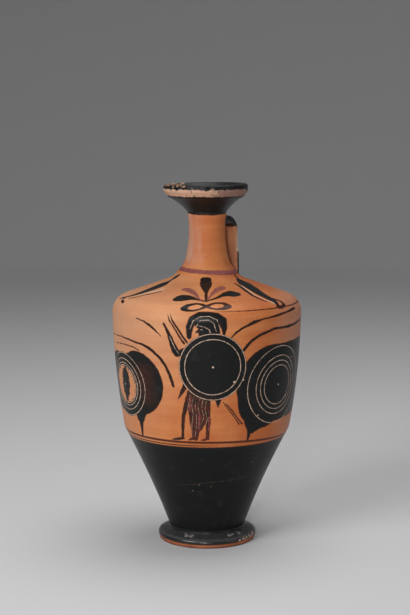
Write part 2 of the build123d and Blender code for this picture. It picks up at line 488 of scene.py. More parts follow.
class Finish(Nodes):
    """A material while it is put together. Its patterns follow the place on the piece, in millimetres."""

    def __init__(self, name):
        self.material = bpy.data.materials.new(name)
        self.material.use_nodes = True
        super().__init__(self.material.node_tree)
        self.tree.nodes.clear()
        metres = self.node("ShaderNodeTexCoord", output="Object")
        self.place = self.node("ShaderNodeVectorMath", {"operation": "SCALE"}, {0: metres, "Scale": 1.0 / MM})
        self.level = self.node("ShaderNodeSeparateXYZ", inputs={0: self.place}, output="Z")

    def grain(self, size, detail=2.0, stretch=None, output="Fac"):
        """Cloudy noise about a half, with patches of a size in millimetres."""
        place = self.place
        if stretch:
            place = place.vector("MULTIPLY", stretch)
        sockets = {"Vector": place, "Scale": 1.0 / size, "Detail": detail, "Roughness": NOISE_ROUGHNESS}
        return self.node("ShaderNodeTexNoise", {"noise_dimensions": "3D"}, sockets, output)

    def mix(self, share, first, second):
        """The first colour, giving way to the second by a share."""
        sockets = {MIX_SHARE: share, MIX_FIRST: rgba(first), MIX_SECOND: rgba(second)}
        return self.node("ShaderNodeMix", {"data_type": "RGBA"}, sockets, MIX_RESULT)

    def along(self, direction):
        """Millimetres from the axis along a direction."""
        return self.place.vector("DOT_PRODUCT", direction, output="Value")

    def radius(self):
        """Millimetres from the wheel's axis."""
        return self.place.vector("MULTIPLY", (1.0, 1.0, 0.0)).vector("LENGTH", output="Value")

    def frayed(self, size, detail=2.0):
        """Noise about zero, which frays an edge."""
        return self.grain(size, detail) - 0.5

    def surface(self, base, roughness, relief, shine=CLAY_SHINE):
        """Closes the material: colour, roughness, relief in millimetres, and how strongly it shines."""
        normal = self.node("ShaderNodeBump", inputs={"Strength": 1.0, "Distance": MM, "Height": relief})
        sockets = {"Base Color": base, "Roughness": roughness, "Normal": normal, "Specular IOR Level": shine}
        shader = self.node("ShaderNodeBsdfPrincipled", inputs=sockets)
        self.node("ShaderNodeOutputMaterial", inputs={"Surface": shader})
        return self


def rgba(value):
    """A colour as a socket takes it."""
    return value if isinstance(value, Field) else (*value, 1.0)


CLAY_ROUGHNESS = 0.46
GLOSS_ROUGHNESS = 0.33
BODY_SHINE = 0.13
GLOSS_SHINE = 0.18
LOWER_SHINE = 0.11

# Patches in the clay and the gloss, in millimetres, and how they stretch round the wheel
CLOUD = 30.0
STREAK = 7.0
STREAK_STRETCH = (0.10, 0.10, 2.0)
SPECKLE = 0.8
WHEEL_RING = 1.2
WHEEL_RING_STRETCH = (0.06, 0.06, 1.0)
WHEEL_RING_DEPTH = 0.03
GRIT = 0.55
GRIT_DEPTH = 0.02
SCUFF = 6.0
SCUFF_EDGE = 0.64
SCUFF_GREY = (0.030, 0.033, 0.031)
SPOT = 1.3
SPOT_EDGE = 0.75
GLOSS_PATCH = 9.0


def clay(finish, colours, pale=0.0):
    """Reserved clay: cloudy, streaked by the wheel and finely speckled, and paler or deeper by a share, which
    holds painted light where a finish passes one.
    """
    cloud = finish.grain(CLOUD, 3.0)
    wheel = finish.grain(STREAK, 2.0, STREAK_STRETCH)
    speck = finish.grain(SPECKLE, 1.0)
    tone = cloud * 1.5 + wheel * 0.7 + speck * 0.35 - 0.9 + pale
    return finish.mix(tone, colours.clay_deep, colours.clay_light)


def clay_relief(finish):
    """Fine rings of the wheel and grit, in millimetres."""
    wheel = finish.grain(WHEEL_RING, 2.0, WHEEL_RING_STRETCH)
    grit = finish.grain(GRIT, 2.0)
    return wheel * WHEEL_RING_DEPTH + grit * GRIT_DEPTH


def black(finish, colours, thin=0.0):
    """Black gloss, brown where it is thin, with dull grey scuffs."""
    scuff = finish.grain(SCUFF, 5.0).above(SCUFF_EDGE, 0.16) * 0.35
    full = finish.mix(scuff, colours.gloss, SCUFF_GREY)
    return finish.mix(thin, full, colours.thin_gloss_and_shade)


def spot_wear(finish, size=SPOT, edge=SPOT_EDGE):
    """Small spots where the gloss has flaked off."""
    return finish.grain(size, 3.0).above(edge, 0.02)


def worn_black(finish, colours):
    """Black gloss that shows the clay in small spots."""
    return finish.mix(spot_wear(finish), black(finish, colours), colours.worn_clay_and_sheen)


def gloss_rough(finish, patchy=0.2, least=GLOSS_ROUGHNESS - 0.06, size=GLOSS_PATCH):
    """Roughness of the gloss, which changes in patches."""
    return finish.grain(size, 4.0) * patchy + least


ROUND_WALL = 50.0  # millimetres round the wall for each radian, as the painter's marks count them


def bearing(turn, past):
    """The level direction at an angle past the picture's middle, to the right."""
    return Vector((math.sin(turn + past), -math.cos(turn + past), 0.0))


def rightwards(turn):
    """The level direction to the right of the picture's middle."""
    return bearing(turn, math.pi / 2)


class Painter:
    """Finds the points in space of marks on the body, in millimetres."""

    def __init__(self, places, turn):
        self.turn = turn
        widest = max(range(len(places)), key=lambda i: places[i].x)
        self.places = places
        self.shoulder_places = [place / MM for place in places[widest:]]
        self.outside = [place / MM for place in places]

    def on_wall(self, around, level):
        """The point so far round the wall, at a level."""
        return bearing(self.turn, around / ROUND_WALL) * radius_at(self.outside, level) + UP * level

    def on_shoulder(self, right, near):
        """The point on the shoulder so far to the right of the axis and so far to the front of it."""
        radius = math.hypot(right, near)
        out = bearing(self.turn, math.atan2(right, near))
        return out * radius + UP * level_at(self.shoulder_places, radius)

    def wall(self, *strokes):
        """Strokes on the wall, from marks of (around, level, half width)."""
        return [[(self.on_wall(around, level), half) for around, level, half in stroke] for stroke in strokes]

    def shoulder(self, *strokes):
        """Strokes on the shoulder, from marks of (right, near, half width)."""
        return [[(self.on_shoulder(right, near), half) for right, near, half in stroke] for stroke in strokes]


FAR_AWAY = 1000.0
BRUSH_RUN = "brush_run"
BRUSH_VECTORS = ("Spot", "Start", "Way", "Pull")
BRUSH_VALUES = ("Half", "Taper", "Nearest")


def brush_run():
    """The node group for one straight run of the brush: millimetres to its edge or to what is nearer."""
    tree = bpy.data.node_groups.get(BRUSH_RUN)
    if tree:
        return tree
    tree = bpy.data.node_groups.new(BRUSH_RUN, "ShaderNodeTree")
    for name in BRUSH_VECTORS:
        tree.interface.new_socket(name, in_out="INPUT", socket_type="NodeSocketVector")
    for name in BRUSH_VALUES:
        tree.interface.new_socket(name, in_out="INPUT", socket_type="NodeSocketFloat")
    tree.interface.new_socket("Nearest", in_out="OUTPUT", socket_type="NodeSocketFloat")
    nodes = Nodes(tree)
    entry = tree.nodes.new("NodeGroupInput")
    sockets = entry.outputs[: len(BRUSH_VECTORS + BRUSH_VALUES)]
    spot, start, way, pull, half, taper, nearest = (Field(nodes, socket) for socket in sockets)
    past = spot.vector("SUBTRACT", start)
    share = past.vector("DOT_PRODUCT", pull, output="Value").clamped()
    reached = nodes.node("ShaderNodeVectorMath", {"operation": "SCALE"}, {0: way, "Scale": share})
    away = past.vector("DISTANCE", reached, output="Value")
    edge = share.maths("MULTIPLY_ADD", taper, away) - half
    nodes.node("NodeGroupOutput", inputs={"Nearest": edge.least(nearest)})
    return tree


def drawn(spot, strokes):
    """Millimetres to the edge of the nearest stroke, below zero inside one."""
    nearest = FAR_AWAY
    for stroke in strokes:
        for (start, start_half), (end, end_half) in zip(stroke, stroke[1:]):
            way = end - start
            sockets = {"Spot": spot, "Start": start, "Way": way, "Pull": way / way.length_squared}
            sockets |= {"Half": start_half, "Taper": start_half - end_half, "Nearest": nearest}
            nearest = spot.nodes.node("ShaderNodeGroup", {"node_tree": brush_run()}, sockets)
    return nearest


def from_point(spot, point):
    """Millimetres to a point."""
    return spot.vector("DISTANCE", point, output="Value")


def dabs(spot, places, half):
    """Millimetres to the edge of the nearest of some round dabs."""
    nearest = from_point(spot, places[0])
    for place in places[1:]:
        nearest = nearest.least(from_point(spot, place))
    return nearest - half


GRAVER_HALF = 0.17
PRICK_HALF = 0.51


def compass_rings(away, radii):
    """Millimetres to the nearest of the circles that a compass drew, or to its prick."""
    nearest = away - PRICK_HALF
    for radius in radii:
        nearest = nearest.least((away - radius).size() - GRAVER_HALF)
    return nearest


# Marks on the shoulder: to the right of the axis, to the front of it, and half the stroke's width
PALMETTE = (
    ((-1.9, 19.2, 1.9), (0.7, 19.2, 1.9)),
    (
        (-0.6, 20.2, 2.9), (-0.6, 22.0, 3.4), (-0.6, 25.0, 3.2),
        (-0.6, 28.8, 2.1), (-0.5, 33.5, 0.9), (-0.3, 42.3, 0.7),
    ),
    (
        (-15.8, 38.0, 2.6), (-13.4, 37.3, 3.8), (-11.0, 37.6, 3.3),
        (-8.5, 38.4, 2.2), (-5.8, 40.0, 1.1), (-0.3, 42.8, 0.7),
    ),
    (
        (15.8, 31.8, 2.6), (13.4, 32.3, 3.7), (10.2, 33.8, 2.4),
        (7.6, 36.2, 1.2), (5.3, 38.7, 0.95), (-0.3, 42.8, 0.7),
    ),
)
RED_LEAVES = (
    (
        (-12.2, 27.4, 1.8), (-10.4, 28.2, 2.2), (-8.4, 30.6, 1.9),
        (-5.9, 35.2, 1.1), (-4.2, 39.6, 0.6), (-2.6, 42.0, 0.5),
    ),
    ((8.4, 26.4, 1.9), (6.2, 28.6, 2.0), (3.6, 32.9, 1.3), (1.6, 37.4, 0.7), (0.6, 40.5, 0.5)),
)
LYING_LOOPS = (
    ((-0.3, 48.0, 1.3), (-3.0, 46.0, 1.1), (-5.8, 45.0, 1.0), (-10.1, 46.2, 1.4), (-12.2, 47.9, 1.8)),
    ((-12.2, 47.9, 1.8), (-10.4, 49.2, 0.9), (-7.4, 49.9, 0.6), (-4.1, 49.6, 0.6), (-0.3, 48.2, 1.1)),
    ((-0.3, 48.0, 1.3), (2.6, 45.6, 1.1), (5.0, 44.4, 1.0), (9.0, 44.4, 1.3), (11.2, 46.6, 1.9)),
    ((11.2, 46.6, 1.9), (9.0, 48.6, 1.1), (5.0, 49.4, 0.6), (2.4, 49.2, 0.7), (-0.3, 48.2, 1.1)),
)
RIGHT_BUD = (
    ((15.4, 8.6, 0.7), (16.9, 9.6, 1.1)),
    (
        (18.8, 12.4, 3.0), (21.0, 14.8, 4.4), (24.6, 18.6, 4.0),
        (29.4, 24.4, 3.2), (34.4, 28.4, 2.6), (37.6, 31.4, 1.4),
    ),
    ((35.1, 26.7, 1.4), (39.3, 26.6, 1.0), (41.6, 27.6, 1.1), (40.6, 30.6, 1.0), (38.3, 32.9, 1.4)),
    (
        (15.5, 18.5, 0.6), (18.0, 20.9, 1.1), (21.0, 25.3, 1.1),
        (24.6, 29.6, 1.0), (28.0, 32.0, 0.8), (31.8, 33.6, 0.5),
    ),
)
LEFT_BUD = (
    ((-15.4, 8.2, 0.9), (-17.8, 7.6, 1.8), (-20.4, 8.8, 0.9)),
    (
        (-21.0, 9.8, 1.6), (-24.6, 12.2, 3.9), (-29.8, 13.9, 3.8),
        (-34.6, 14.9, 2.9), (-39.6, 14.9, 2.0), (-44.0, 13.4, 1.3),
    ),
    ((-44.0, 13.4, 1.3), (-47.6, 10.4, 0.9)),
    ((-44.0, 13.4, 1.2), (-46.6, 16.0, 0.8), (-45.6, 20.0, 0.9)),
    ((-25.0, 23.6, 0.5), (-31.2, 22.8, 0.6), (-38.2, 21.0, 0.6), (-42.4, 19.2, 0.6)),
)
BUD_LIGHTS = (
    ((19.0, 19.6, 0.5), (22.6, 24.0, 0.45), (26.0, 28.2, 0.4), (31.2, 31.2, 0.4), (35.8, 32.4, 0.5)),
    ((-23.8, 20.6, 0.9), (-28.1, 20.6, 1.0), (-33.0, 19.6, 0.6), (-38.0, 18.0, 0.3)),
)
# How far round the right bud is repeated, at the back
BACK_BUDS = (math.radians(62.0), math.radians(-168.0))

# Marks round the wall: the way round from the picture's middle, the level, and half the stroke's width
LEFT_BOUGHS = (
    (
        (-40.0, 130.1, 0.3), (-34.8, 129.2, 0.5), (-31.1, 127.4, 0.75),
        (-27.8, 125.2, 0.6), (-24.2, 121.9, 0.25),
    ),
    (
        (-78.0, 116.6, 0.3), (-70.0, 117.6, 0.35), (-62.0, 118.3, 0.35),
        (-54.6, 118.4, 0.4), (-47.8, 118.0, 0.5),
    ),
    (
        (-47.8, 118.0, 0.5), (-41.6, 117.1, 0.6), (-35.1, 116.1, 0.75),
        (-32.2, 115.0, 0.8), (-29.4, 113.5, 0.85),
    ),
    (
        (-29.4, 113.5, 0.85), (-25.2, 110.1, 0.85), (-22.2, 106.4, 0.85),
        (-19.9, 101.7, 0.9), (-18.0, 95.4, 0.8),
    ),
    (
        (-62.5, 113.9, 0.3), (-56.0, 114.4, 0.3), (-50.1, 114.6, 0.3),
        (-43.4, 114.2, 0.35), (-38.5, 112.6, 0.3),
    ),
)
RIGHT_BOUGHS = (
    ((12.0, 121.4, 0.45), (14.5, 124.0, 0.6), (17.4, 126.2, 0.65), (21.0, 128.0, 0.7), (24.8, 129.4, 0.95)),
    ((24.8, 129.4, 0.95), (28.5, 130.2, 0.5), (33.0, 130.9, 0.45), (38.0, 131.5, 0.65), (43.2, 132.0, 0.7)),
    ((43.2, 132.0, 0.7), (48.0, 132.5, 0.5), (52.5, 133.0, 0.75), (58.0, 133.5, 0.8)),
    ((19.2, 114.6, 0.85), (21.3, 117.2, 0.9), (23.6, 119.4, 0.9), (28.2, 122.2, 0.85), (33.0, 123.6, 0.75)),
    ((33.0, 123.6, 0.75), (37.4, 124.6, 0.75), (44.0, 124.7, 0.65), (50.2, 124.7, 0.85), (58.0, 125.2, 0.75)),
    ((58.0, 125.2, 0.75), (66.0, 126.0, 0.65), (76.0, 127.0, 0.4)),
)
RIGHT_EYE = (
    ((44.0, 93.4, 22.0), (26.6, 70.2, 2.2)),
    ((37.5, 94.6, 21.8), (66.0, 95.6, 21.4), (80.0, 96.6, 13.6), (94.0, 97.8, 5.4), (107.0, 99.0, 0.6)),
    (
        (37.5, 94.6, 21.8), (33.5, 87.0, 16.6), (27.5, 76.0, 6.2),
        (25.6, 71.8, 2.6), (25.0, 69.0, 1.3), (24.4, 64.6, 0.6),
    ),
)
LEFT_EYE = (
    ((-41.6, 94.6, 17.7), (-44.0, 94.0, 17.0)),
    ((-41.8, 80.5, 6.8), (-42.0, 75.6, 3.4), (-42.1, 72.4, 1.8), (-42.2, 69.0, 1.0), (-42.6, 64.6, 0.5)),
    ((-64.0, 93.0, 17.0), (-84.0, 95.5, 9.0), (-102.0, 98.0, 1.0)),
)
EYE_LOBE = ((-36.0, 100.0, 5.0), (-34.0, 88.0, 4.0))
PUPIL = ((-52.6, 103.0, 0.8), (-53.0, 97.8, 3.6), (-53.4, 92.6, 4.6), (-53.8, 87.8, 3.4), (-54.2, 83.0, 0.8))
RIGHT_IRIS = (43.6, 93.4)
RIGHT_IRIS_RINGS = (21.4, 16.2, 13.4, 10.8)
LEFT_IRIS = (-54.2, 92.2)
LEFT_IRIS_RINGS = (18.0, 14.7, 12.3, 10.9)
LEFT_IRIS_RADIUS = 18.5
LEFT_IRIS_RESERVE = 10.3
LEFT_IRIS_SQUASH = (1.0, 1.0, 1.03)
RING_CHIPS = ((30.0, 78.2), (14.4, 97.7), (19.4, 98.7), (55.7, 106.9), (51.9, 85.8))
RING_CHIP_HALF = 0.5
SHIELD = (3.05, 106.0)
SHIELD_RADIUS = 18.3
SHIELD_RINGS = (17.9, 15.0)
HELMET = (
    ((-8.9, 122.4, 1.3), (-8.8, 127.2, 2.0), (-7.4, 131.4, 2.1), (-3.6, 133.6, 2.2), (0.5, 133.8, 2.1)),
    ((0.5, 133.8, 2.1), (5.0, 133.2, 2.1), (8.0, 131.0, 2.0), (8.6, 127.0, 1.6), (8.6, 123.6, 0.7)),
    ((-3.4, 130.2, 3.4), (3.4, 130.0, 3.8), (4.4, 124.8, 2.4)),
)
FACE = (
    ((-0.8, 126.6, 3.6), (-1.6, 124.4, 3.0), (-2.6, 122.4, 1.6)),
    ((-3.6, 126.0, 1.0), (-5.4, 124.9, 0.5)),
    ((0.4, 124.0, 2.6), (0.8, 120.0, 3.0)),
)
ARM = (
    ((-22.4, 128.6, 0.7), (-21.4, 126.9, 0.7), (-19.7, 122.9, 1.1), (-17.9, 118.3, 1.7), (-16.4, 114.6, 2.1)),
    ((-16.4, 114.6, 2.1), (-15.5, 112.8, 1.7), (-14.0, 113.4, 1.7), (-12.2, 114.4, 1.7)),
)
SPEARS = (
    ((-20.7, 134.0, 0.2), (-19.3, 130.8, 0.45), (-15.6, 124.8, 0.5), (-11.7, 118.6, 0.55)),
    ((-19.2, 134.0, 0.2), (-17.6, 130.6, 0.55), (-14.0, 125.0, 0.6), (-10.3, 119.4, 0.65)),
    ((8.6, 86.8, 0.3), (13.4, 80.6, 0.3), (18.4, 74.1, 0.35)),
    ((10.6, 85.5, 0.35), (15.2, 80.0, 0.35), (20.0, 74.2, 0.4)),
)
DRESS = (
    ((-10.4, 98.0, 1.7), (-12.6, 93.5, 1.2), (-15.7, 88.2, 0.2)),
    ((6.0, 88.2, 1.8), (6.0, 83.9, 0.2)),
    ((-9.2, 92.0, 1.6), (-10.8, 86.0, 1.5), (-12.9, 79.5, 1.1), (-13.6, 73.0, 0.9), (-13.8, 67.6, 0.8)),
    ((-7.2, 90.0, 2.2), (-8.4, 83.0, 2.0), (-7.9, 75.0, 1.5), (-7.6, 67.4, 0.9)),
    ((-2.6, 90.0, 4.4), (-2.6, 83.0, 4.4), (-2.2, 79.4, 4.0), (-3.0, 75.6, 2.1), (-3.8, 71.6, 0.7)),
    ((0.5, 77.6, 1.5), (0.5, 72.0, 1.1), (0.2, 67.0, 0.9)),
    ((-5.0, 80.0, 2.6), (-5.6, 73.0, 2.0), (-6.4, 66.8, 1.4)),
    ((-13.6, 66.6, 0.8), (-17.4, 65.9, 0.7), (-20.7, 65.4, 0.3)),
    ((-7.4, 66.8, 1.0), (-10.2, 65.9, 0.5)),
    ((0.3, 66.6, 0.9), (-1.6, 66.0, 0.7), (-3.4, 65.8, 0.3)),
)
DRESS_FRONT = ((-5.0, 90.0, 7.0), (-5.0, 68.0, 7.0))
RED_FOLDS = (
    ((-8.4, 89.5, 0.35), (-9.2, 85.0, 0.4), (-9.2, 82.0, 0.2)),
    ((-4.2, 82.0, 0.2), (-4.0, 77.0, 0.5), (-4.8, 71.5, 0.15)),
    ((0.9, 82.0, 0.15), (1.1, 77.0, 0.3), (0.8, 71.0, 0.1)),
)
FOLDS = (
    ((-9.0, 90.6, 0.03), (-9.9, 85.5, 0.05), (-10.9, 82.0, 0.03)),
    ((-7.0, 90.1, 0.03), (-8.3, 85.0, 0.05), (-7.5, 80.4, 0.05), (-8.4, 74.7, 0.03), (-8.6, 68.0, 0.02)),
    ((-5.7, 89.8, 0.03), (-6.3, 85.0, 0.05), (-5.9, 80.5, 0.05), (-5.7, 74.8, 0.03), (-6.7, 68.0, 0.02)),
    ((-3.5, 89.3, 0.03), (-4.9, 85.1, 0.05), (-4.4, 81.4, 0.03)),
    ((-2.1, 88.5, 0.03), (-3.0, 83.4, 0.05), (-1.6, 79.4, 0.05), (-3.7, 72.6, 0.03)),
    ((-0.3, 88.2, 0.03), (-1.1, 83.4, 0.05), (0.1, 77.7, 0.05), (-0.4, 74.9, 0.03)),
)
ARM_LINE = ((-19.4, 122.2, 0.12), (-16.8, 116.6, 0.16), (-14.6, 113.0, 0.12))
HELMET_LINES = (
    (
        (-8.6, 126.4, 0.14), (-7.0, 130.8, 0.16), (-3.4, 133.0, 0.18),
        (1.0, 133.2, 0.18), (5.0, 131.4, 0.16), (6.8, 126.0, 0.14),
    ),
    ((-5.4, 128.0, 0.14), (-3.4, 131.0, 0.16), (0.6, 131.4, 0.16), (3.4, 129.6, 0.16), (4.6, 125.4, 0.14)),
)
FACE_LINES = (
    ((-4.6, 128.4, 0.14), (-1.2, 127.6, 0.16), (1.2, 126.2, 0.16), (1.6, 124.4, 0.14)),
    ((-3.2, 126.2, 0.2), (-2.4, 126.2, 0.2)),
)
PICTURE_FLOOR = 61.4
GROUND_LINE = 64.3
GROUND_LINE_HALF = 0.65
GROUND_FALL = 0.0009
GROUND_LINE_BELOW = 62.3
GROUND_LINE_BELOW_HALF = 0.35
SHOULDER_LINE = 135.4
SHOULDER_LINE_HALF = 0.3

# The clay under the picture, with painted light: the level where its painted sheen is strongest and how
# strong, the fall for each millimetre, the painted light from the left, and the grey painted sheen at its far
# side
SHEEN_LEVEL = 128.0
SHEEN_MOST = 0.17
SHEEN_FALL = 0.006
LIGHT_FROM_LEFT = 0.009
SHEEN_GREY = 0.7
SHEEN_SIDE = 40.0
SHEEN_SIDE_SOFT = 12.0
SHEEN_SIDE_MOST = 0.35

# Marks on the black below the picture: the way round, the level, and half the width
SCRATCH = (
    ((-29.6, 35.7, 0.1), (-22.0, 36.9, 0.12), (-14.0, 37.9, 0.14), (-5.6, 38.8, 0.16), (2.0, 39.4, 0.16)),
    (
        (2.0, 39.4, 0.16), (8.0, 39.8, 0.16), (14.5, 40.1, 0.16),
        (22.0, 40.7, 0.14), (29.0, 41.2, 0.12), (36.8, 41.7, 0.1),
    ),
)
SPECKS = ((-6.5, 37.8), (3.4, 36.6), (-12.2, 33.8), (35.6, 51.7), (34.7, 49.9), (46.1, 59.7))
SPECK_HALF = 0.4
SCRATCH_SHOWS = 0.1
SPECKS_SHOW = 0.3

# The red ring round the neck's foot, in millimetres
RING_LEVEL = 152.8
RING_HALF = 1.1
RING_DIP = 0.055
RING_UNEVEN = 0.6

# The hand and the paint: how the brush trembles, how soft each edge is, and the patches of the wash
TREMBLE_SIZE = 5.0
TREMBLE = (0.9, 0.9, 0.9)
GLOSS_SOFT = 0.28
RED_SOFT = 0.35
GRAVER_SOFT = 0.22
WASH = 3.5
PICTURE_SPOT = 1.6
PICTURE_SPOT_EDGE = 0.775


class BodyPaint:
    """What the painter laid on the body, for one finish of it."""

    def __init__(self, finish, painter):
        self.finish = finish
        self.painter = painter
        tremble = finish.grain(TREMBLE_SIZE, 3.0, output="Color").vector("SUBTRACT", (0.5, 0.5, 0.5))
        self.spot = tremble.vector("MULTIPLY_ADD", TREMBLE, finish.place)
        self.ragged = finish.frayed(1.1, 2.0)

    def right(self):
        """Millimetres to the right of the picture's middle."""
        return self.finish.along(rightwards(self.painter.turn))

    def ground(self, colours):
        """The clay under the paint, painted palest at the upper left and greyest at the far right: painted
        sheen there, with painted shade towards the right.
        """
        right = self.right()
        # Painted light: paler near the shoulder and at the left, deeper towards the right, as the light falls
        pale = (self.finish.level - SHEEN_LEVEL).size() * -SHEEN_FALL + SHEEN_MOST - right * LIGHT_FROM_LEFT
        fired = clay(self.finish, colours, pale)
        # Painted sheen: mixed towards pale clay at the upper left and at the far right
        sheen_share = (pale.clamped() * SHEEN_GREY).most(right.above(SHEEN_SIDE, SHEEN_SIDE_SOFT) * SHEEN_SIDE_MOST)
        return self.finish.mix(sheen_share, fired, colours.worn_clay_and_sheen)

    def strokes(self, strokes):
        """Millimetres to the edge of what a trembling brush drew."""
        return drawn(self.spot, strokes)

    def lines(self, strokes):
        """Millimetres to the edge of what a steady graver drew."""
        return drawn(self.finish.place, strokes)

    def from_mark(self, mark):
        """Millimetres to a mark on the wall."""
        return from_point(self.finish.place, self.painter.on_wall(*mark))

    def dabbed(self, marks, half):
        """Millimetres to the edge of the nearest of some dabs on the wall."""
        return dabs(self.finish.place, [self.painter.on_wall(*mark) for mark in marks], half)


def neck_ring(finish, right):
    """Millimetres to the edge of the red ring round the neck's foot, which dips a little to the right."""
    level = finish.level + right * RING_DIP + finish.grain(4.0) * RING_UNEVEN
    return (level - RING_LEVEL).size() - RING_HALF


def painted(paint, colours, away, red, line, thin):
    """Clay under black gloss, added red and graver's lines, each by millimetres to its edge."""
    finish = paint.finish
    chipped = spot_wear(finish, PICTURE_SPOT, PICTURE_SPOT_EDGE)
    edge = away.maths("MULTIPLY_ADD", 1.1, 1.0).clamped()
    laid = away.inside(GLOSS_SOFT) * (1.0 - chipped)
    wash = finish.grain(WASH, 4.0)
    brown = (edge * 0.55 + thin * (wash * 2.2 - 0.45)).clamped()
    base = finish.mix(laid, paint.ground(colours), black(finish, colours, brown))
    rough = laid * (GLOSS_ROUGHNESS - CLAY_ROUGHNESS) + CLAY_ROUGHNESS
    reddened = red.inside(RED_SOFT) * (wash * 0.9 + 0.45)
    base = finish.mix(reddened, base, colours.added_red)
    opened = line.inside(GRAVER_SOFT) * (wash * 1.2 + 0.3)
    base = finish.mix(opened, base, colours.incised)
    rough = rough + opened * 0.2
    return finish.surface(base, rough, clay_relief(finish), BODY_SHINE)


def shoulder_finish(colours, painter):
    """Clay with the palmette, the lying loops and the buds."""
    finish = Finish("painted_shoulder")
    paint = BodyPaint(finish, painter)
    right = paint.right()
    strokes = painter.shoulder(*PALMETTE, *LYING_LOOPS, *RIGHT_BUD, *LEFT_BUD) + painter.wall(*HELMET)
    for turned in BACK_BUDS:
        strokes += Painter(painter.places, painter.turn + turned).shoulder(*RIGHT_BUD)
    away = paint.strokes(strokes)
    fading = right.maths("MULTIPLY_ADD", -0.01, 0.25).most(0.0)
    edge_line = (finish.level - SHOULDER_LINE).size() - SHOULDER_LINE_HALF + fading + paint.ragged * 0.5
    away = away.least(edge_line)
    red = paint.strokes(painter.shoulder(*RED_LEAVES)).least(neck_ring(finish, right))
    line = paint.lines(painter.shoulder(*BUD_LIGHTS) + painter.wall(*HELMET_LINES))
    thin = edge_line.inside(0.8) + paint.strokes(painter.shoulder(*LYING_LOOPS[2:])).inside(1.0) * 0.6
    return painted(paint, colours, away, red, line, thin)


def left_eye(paint, from_pupil):
    """Millimetres to the edge of the left eye's black, which leaves clay round its pupil."""
    eye = paint.strokes(paint.painter.wall(*LEFT_EYE)).least(from_pupil - LEFT_IRIS_RADIUS)
    reserve = LEFT_IRIS_RESERVE - from_pupil + paint.ragged * 3.0
    pupil = paint.strokes(paint.painter.wall(PUPIL)) + paint.ragged * 3.0
    return eye.most(reserve.least(pupil))


def ground_lines(paint, right):
    """Millimetres to the edge of the two lines under the picture. They fall at the right, where one fades."""
    low = right.most(0.0)
    fallen = low.maths("MULTIPLY", low) * GROUND_FALL + paint.finish.level + paint.ragged * 0.3
    fading = right.maths("MULTIPLY_ADD", 0.02, 0.2).most(0.0)
    upper = (fallen - GROUND_LINE).size() - GROUND_LINE_HALF
    return upper.least((fallen - GROUND_LINE_BELOW).size() - GROUND_LINE_BELOW_HALF + fading)


def graver_lines(paint, behind, from_boss, from_pupil):
    """Millimetres to the nearest line or ring that the graver opened, or to a chip in a ring."""
    line = paint.lines(paint.painter.wall(*FOLDS, ARM_LINE, *HELMET_LINES, *FACE_LINES)).most(behind)
    line = line.least(compass_rings(from_boss, SHIELD_RINGS))
    line = line.least(compass_rings(paint.from_mark(RIGHT_IRIS), RIGHT_IRIS_RINGS))
    line = line.least(compass_rings(from_pupil, LEFT_IRIS_RINGS))
    chips = paint.dabbed(RING_CHIPS, RING_CHIP_HALF)
    return line.least(chips + paint.ragged * 0.8) + paint.ragged * 0.5


def thin_wash(paint, behind, ground):
    """How thin the picture's gloss is: in the left eye's lobe, in the dress and along the lines under it."""
    lobe = paint.strokes(paint.painter.wall(EYE_LOBE)).inside(8.0) * 0.6
    dress = paint.strokes(paint.painter.wall(DRESS_FRONT)).most(behind)
    dress = dress.most(GROUND_LINE - paint.finish.level).inside(6.0)
    return lobe.most(dress).most(ground.inside(0.8) * 2.0)


def picture_finish(colours, painter):
    """Clay with the two eyes, the shield bearer and the boughs."""
    finish = Finish("painted_picture")
    paint = BodyPaint(finish, painter)
    right = paint.right()
    strokes = painter.wall(*LEFT_BOUGHS, *RIGHT_BOUGHS, *HELMET, *FACE, *ARM, *SPEARS, *DRESS, *RIGHT_EYE)
    away = paint.strokes(strokes + painter.shoulder(*LYING_LOOPS[1::2]))
    from_boss = paint.from_mark(SHIELD)
    away = away.least(from_boss - SHIELD_RADIUS)
    squashed = finish.place.vector("MULTIPLY", LEFT_IRIS_SQUASH)
    from_pupil = from_point(squashed, painter.on_wall(*LEFT_IRIS) * Vector(LEFT_IRIS_SQUASH))
    away = away.least(left_eye(paint, from_pupil)) + paint.ragged * 0.5
    ground = ground_lines(paint, right)
    away = away.least(finish.level - PICTURE_FLOOR + paint.ragged * 0.4).least(ground)
    behind = SHIELD_RADIUS - from_boss
    line = graver_lines(paint, behind, from_boss, from_pupil)
    red = (paint.strokes(painter.wall(*RED_FOLDS)) + paint.ragged * 1.6).most(behind)
    return painted(paint, colours, away, red, line, thin_wash(paint, behind, ground))


def gloss_finish(name, colours):
    """Black gloss all over, flaked in small spots and scuffed."""
    finish = Finish(name)
    return glossed(finish, colours, spot_wear(finish))


def glossed(finish, colours, flaked, shine=GLOSS_SHINE):
    """Black gloss with worn clay where it has flaked."""
    base = finish.mix(flaked, black(finish, colours), colours.worn_clay_and_sheen)
    rough = gloss_rough(finish, 0.22, GLOSS_ROUGHNESS - 0.08) + flaked * 0.25
    return finish.surface(base, rough, clay_relief(finish), shine)


def lower_finish(colours, painter):
    """Black gloss with one long scratch and a few specks."""
    finish = Finish("lower_body_gloss")
    paint = BodyPaint(finish, painter)
    scratch = (paint.lines(painter.wall(*SCRATCH)) + paint.ragged * 0.7).inside(0.2) * SCRATCH_SHOWS
    specks = (paint.dabbed(SPECKS, SPECK_HALF) + paint.ragged * 1.2).inside(0.2) * SPECKS_SHOW
    return glossed(finish, colours, scratch.most(specks), LOWER_SHINE)


def bare_finish(name, colours):
    """Clay with nothing on it."""
    finish = Finish(name)
    base = clay(finish, colours)
    rough = finish.grain(4.0) * 0.1 + CLAY_ROUGHNESS
    return finish.surface(base, rough, clay_relief(finish))


def chosen(context):
    """The sizes, the colours and the stage that the panel shows."""
    return context.scene.lekythos_sizes, context.scene.lekythos_colours, context.scene.lekythos_stage


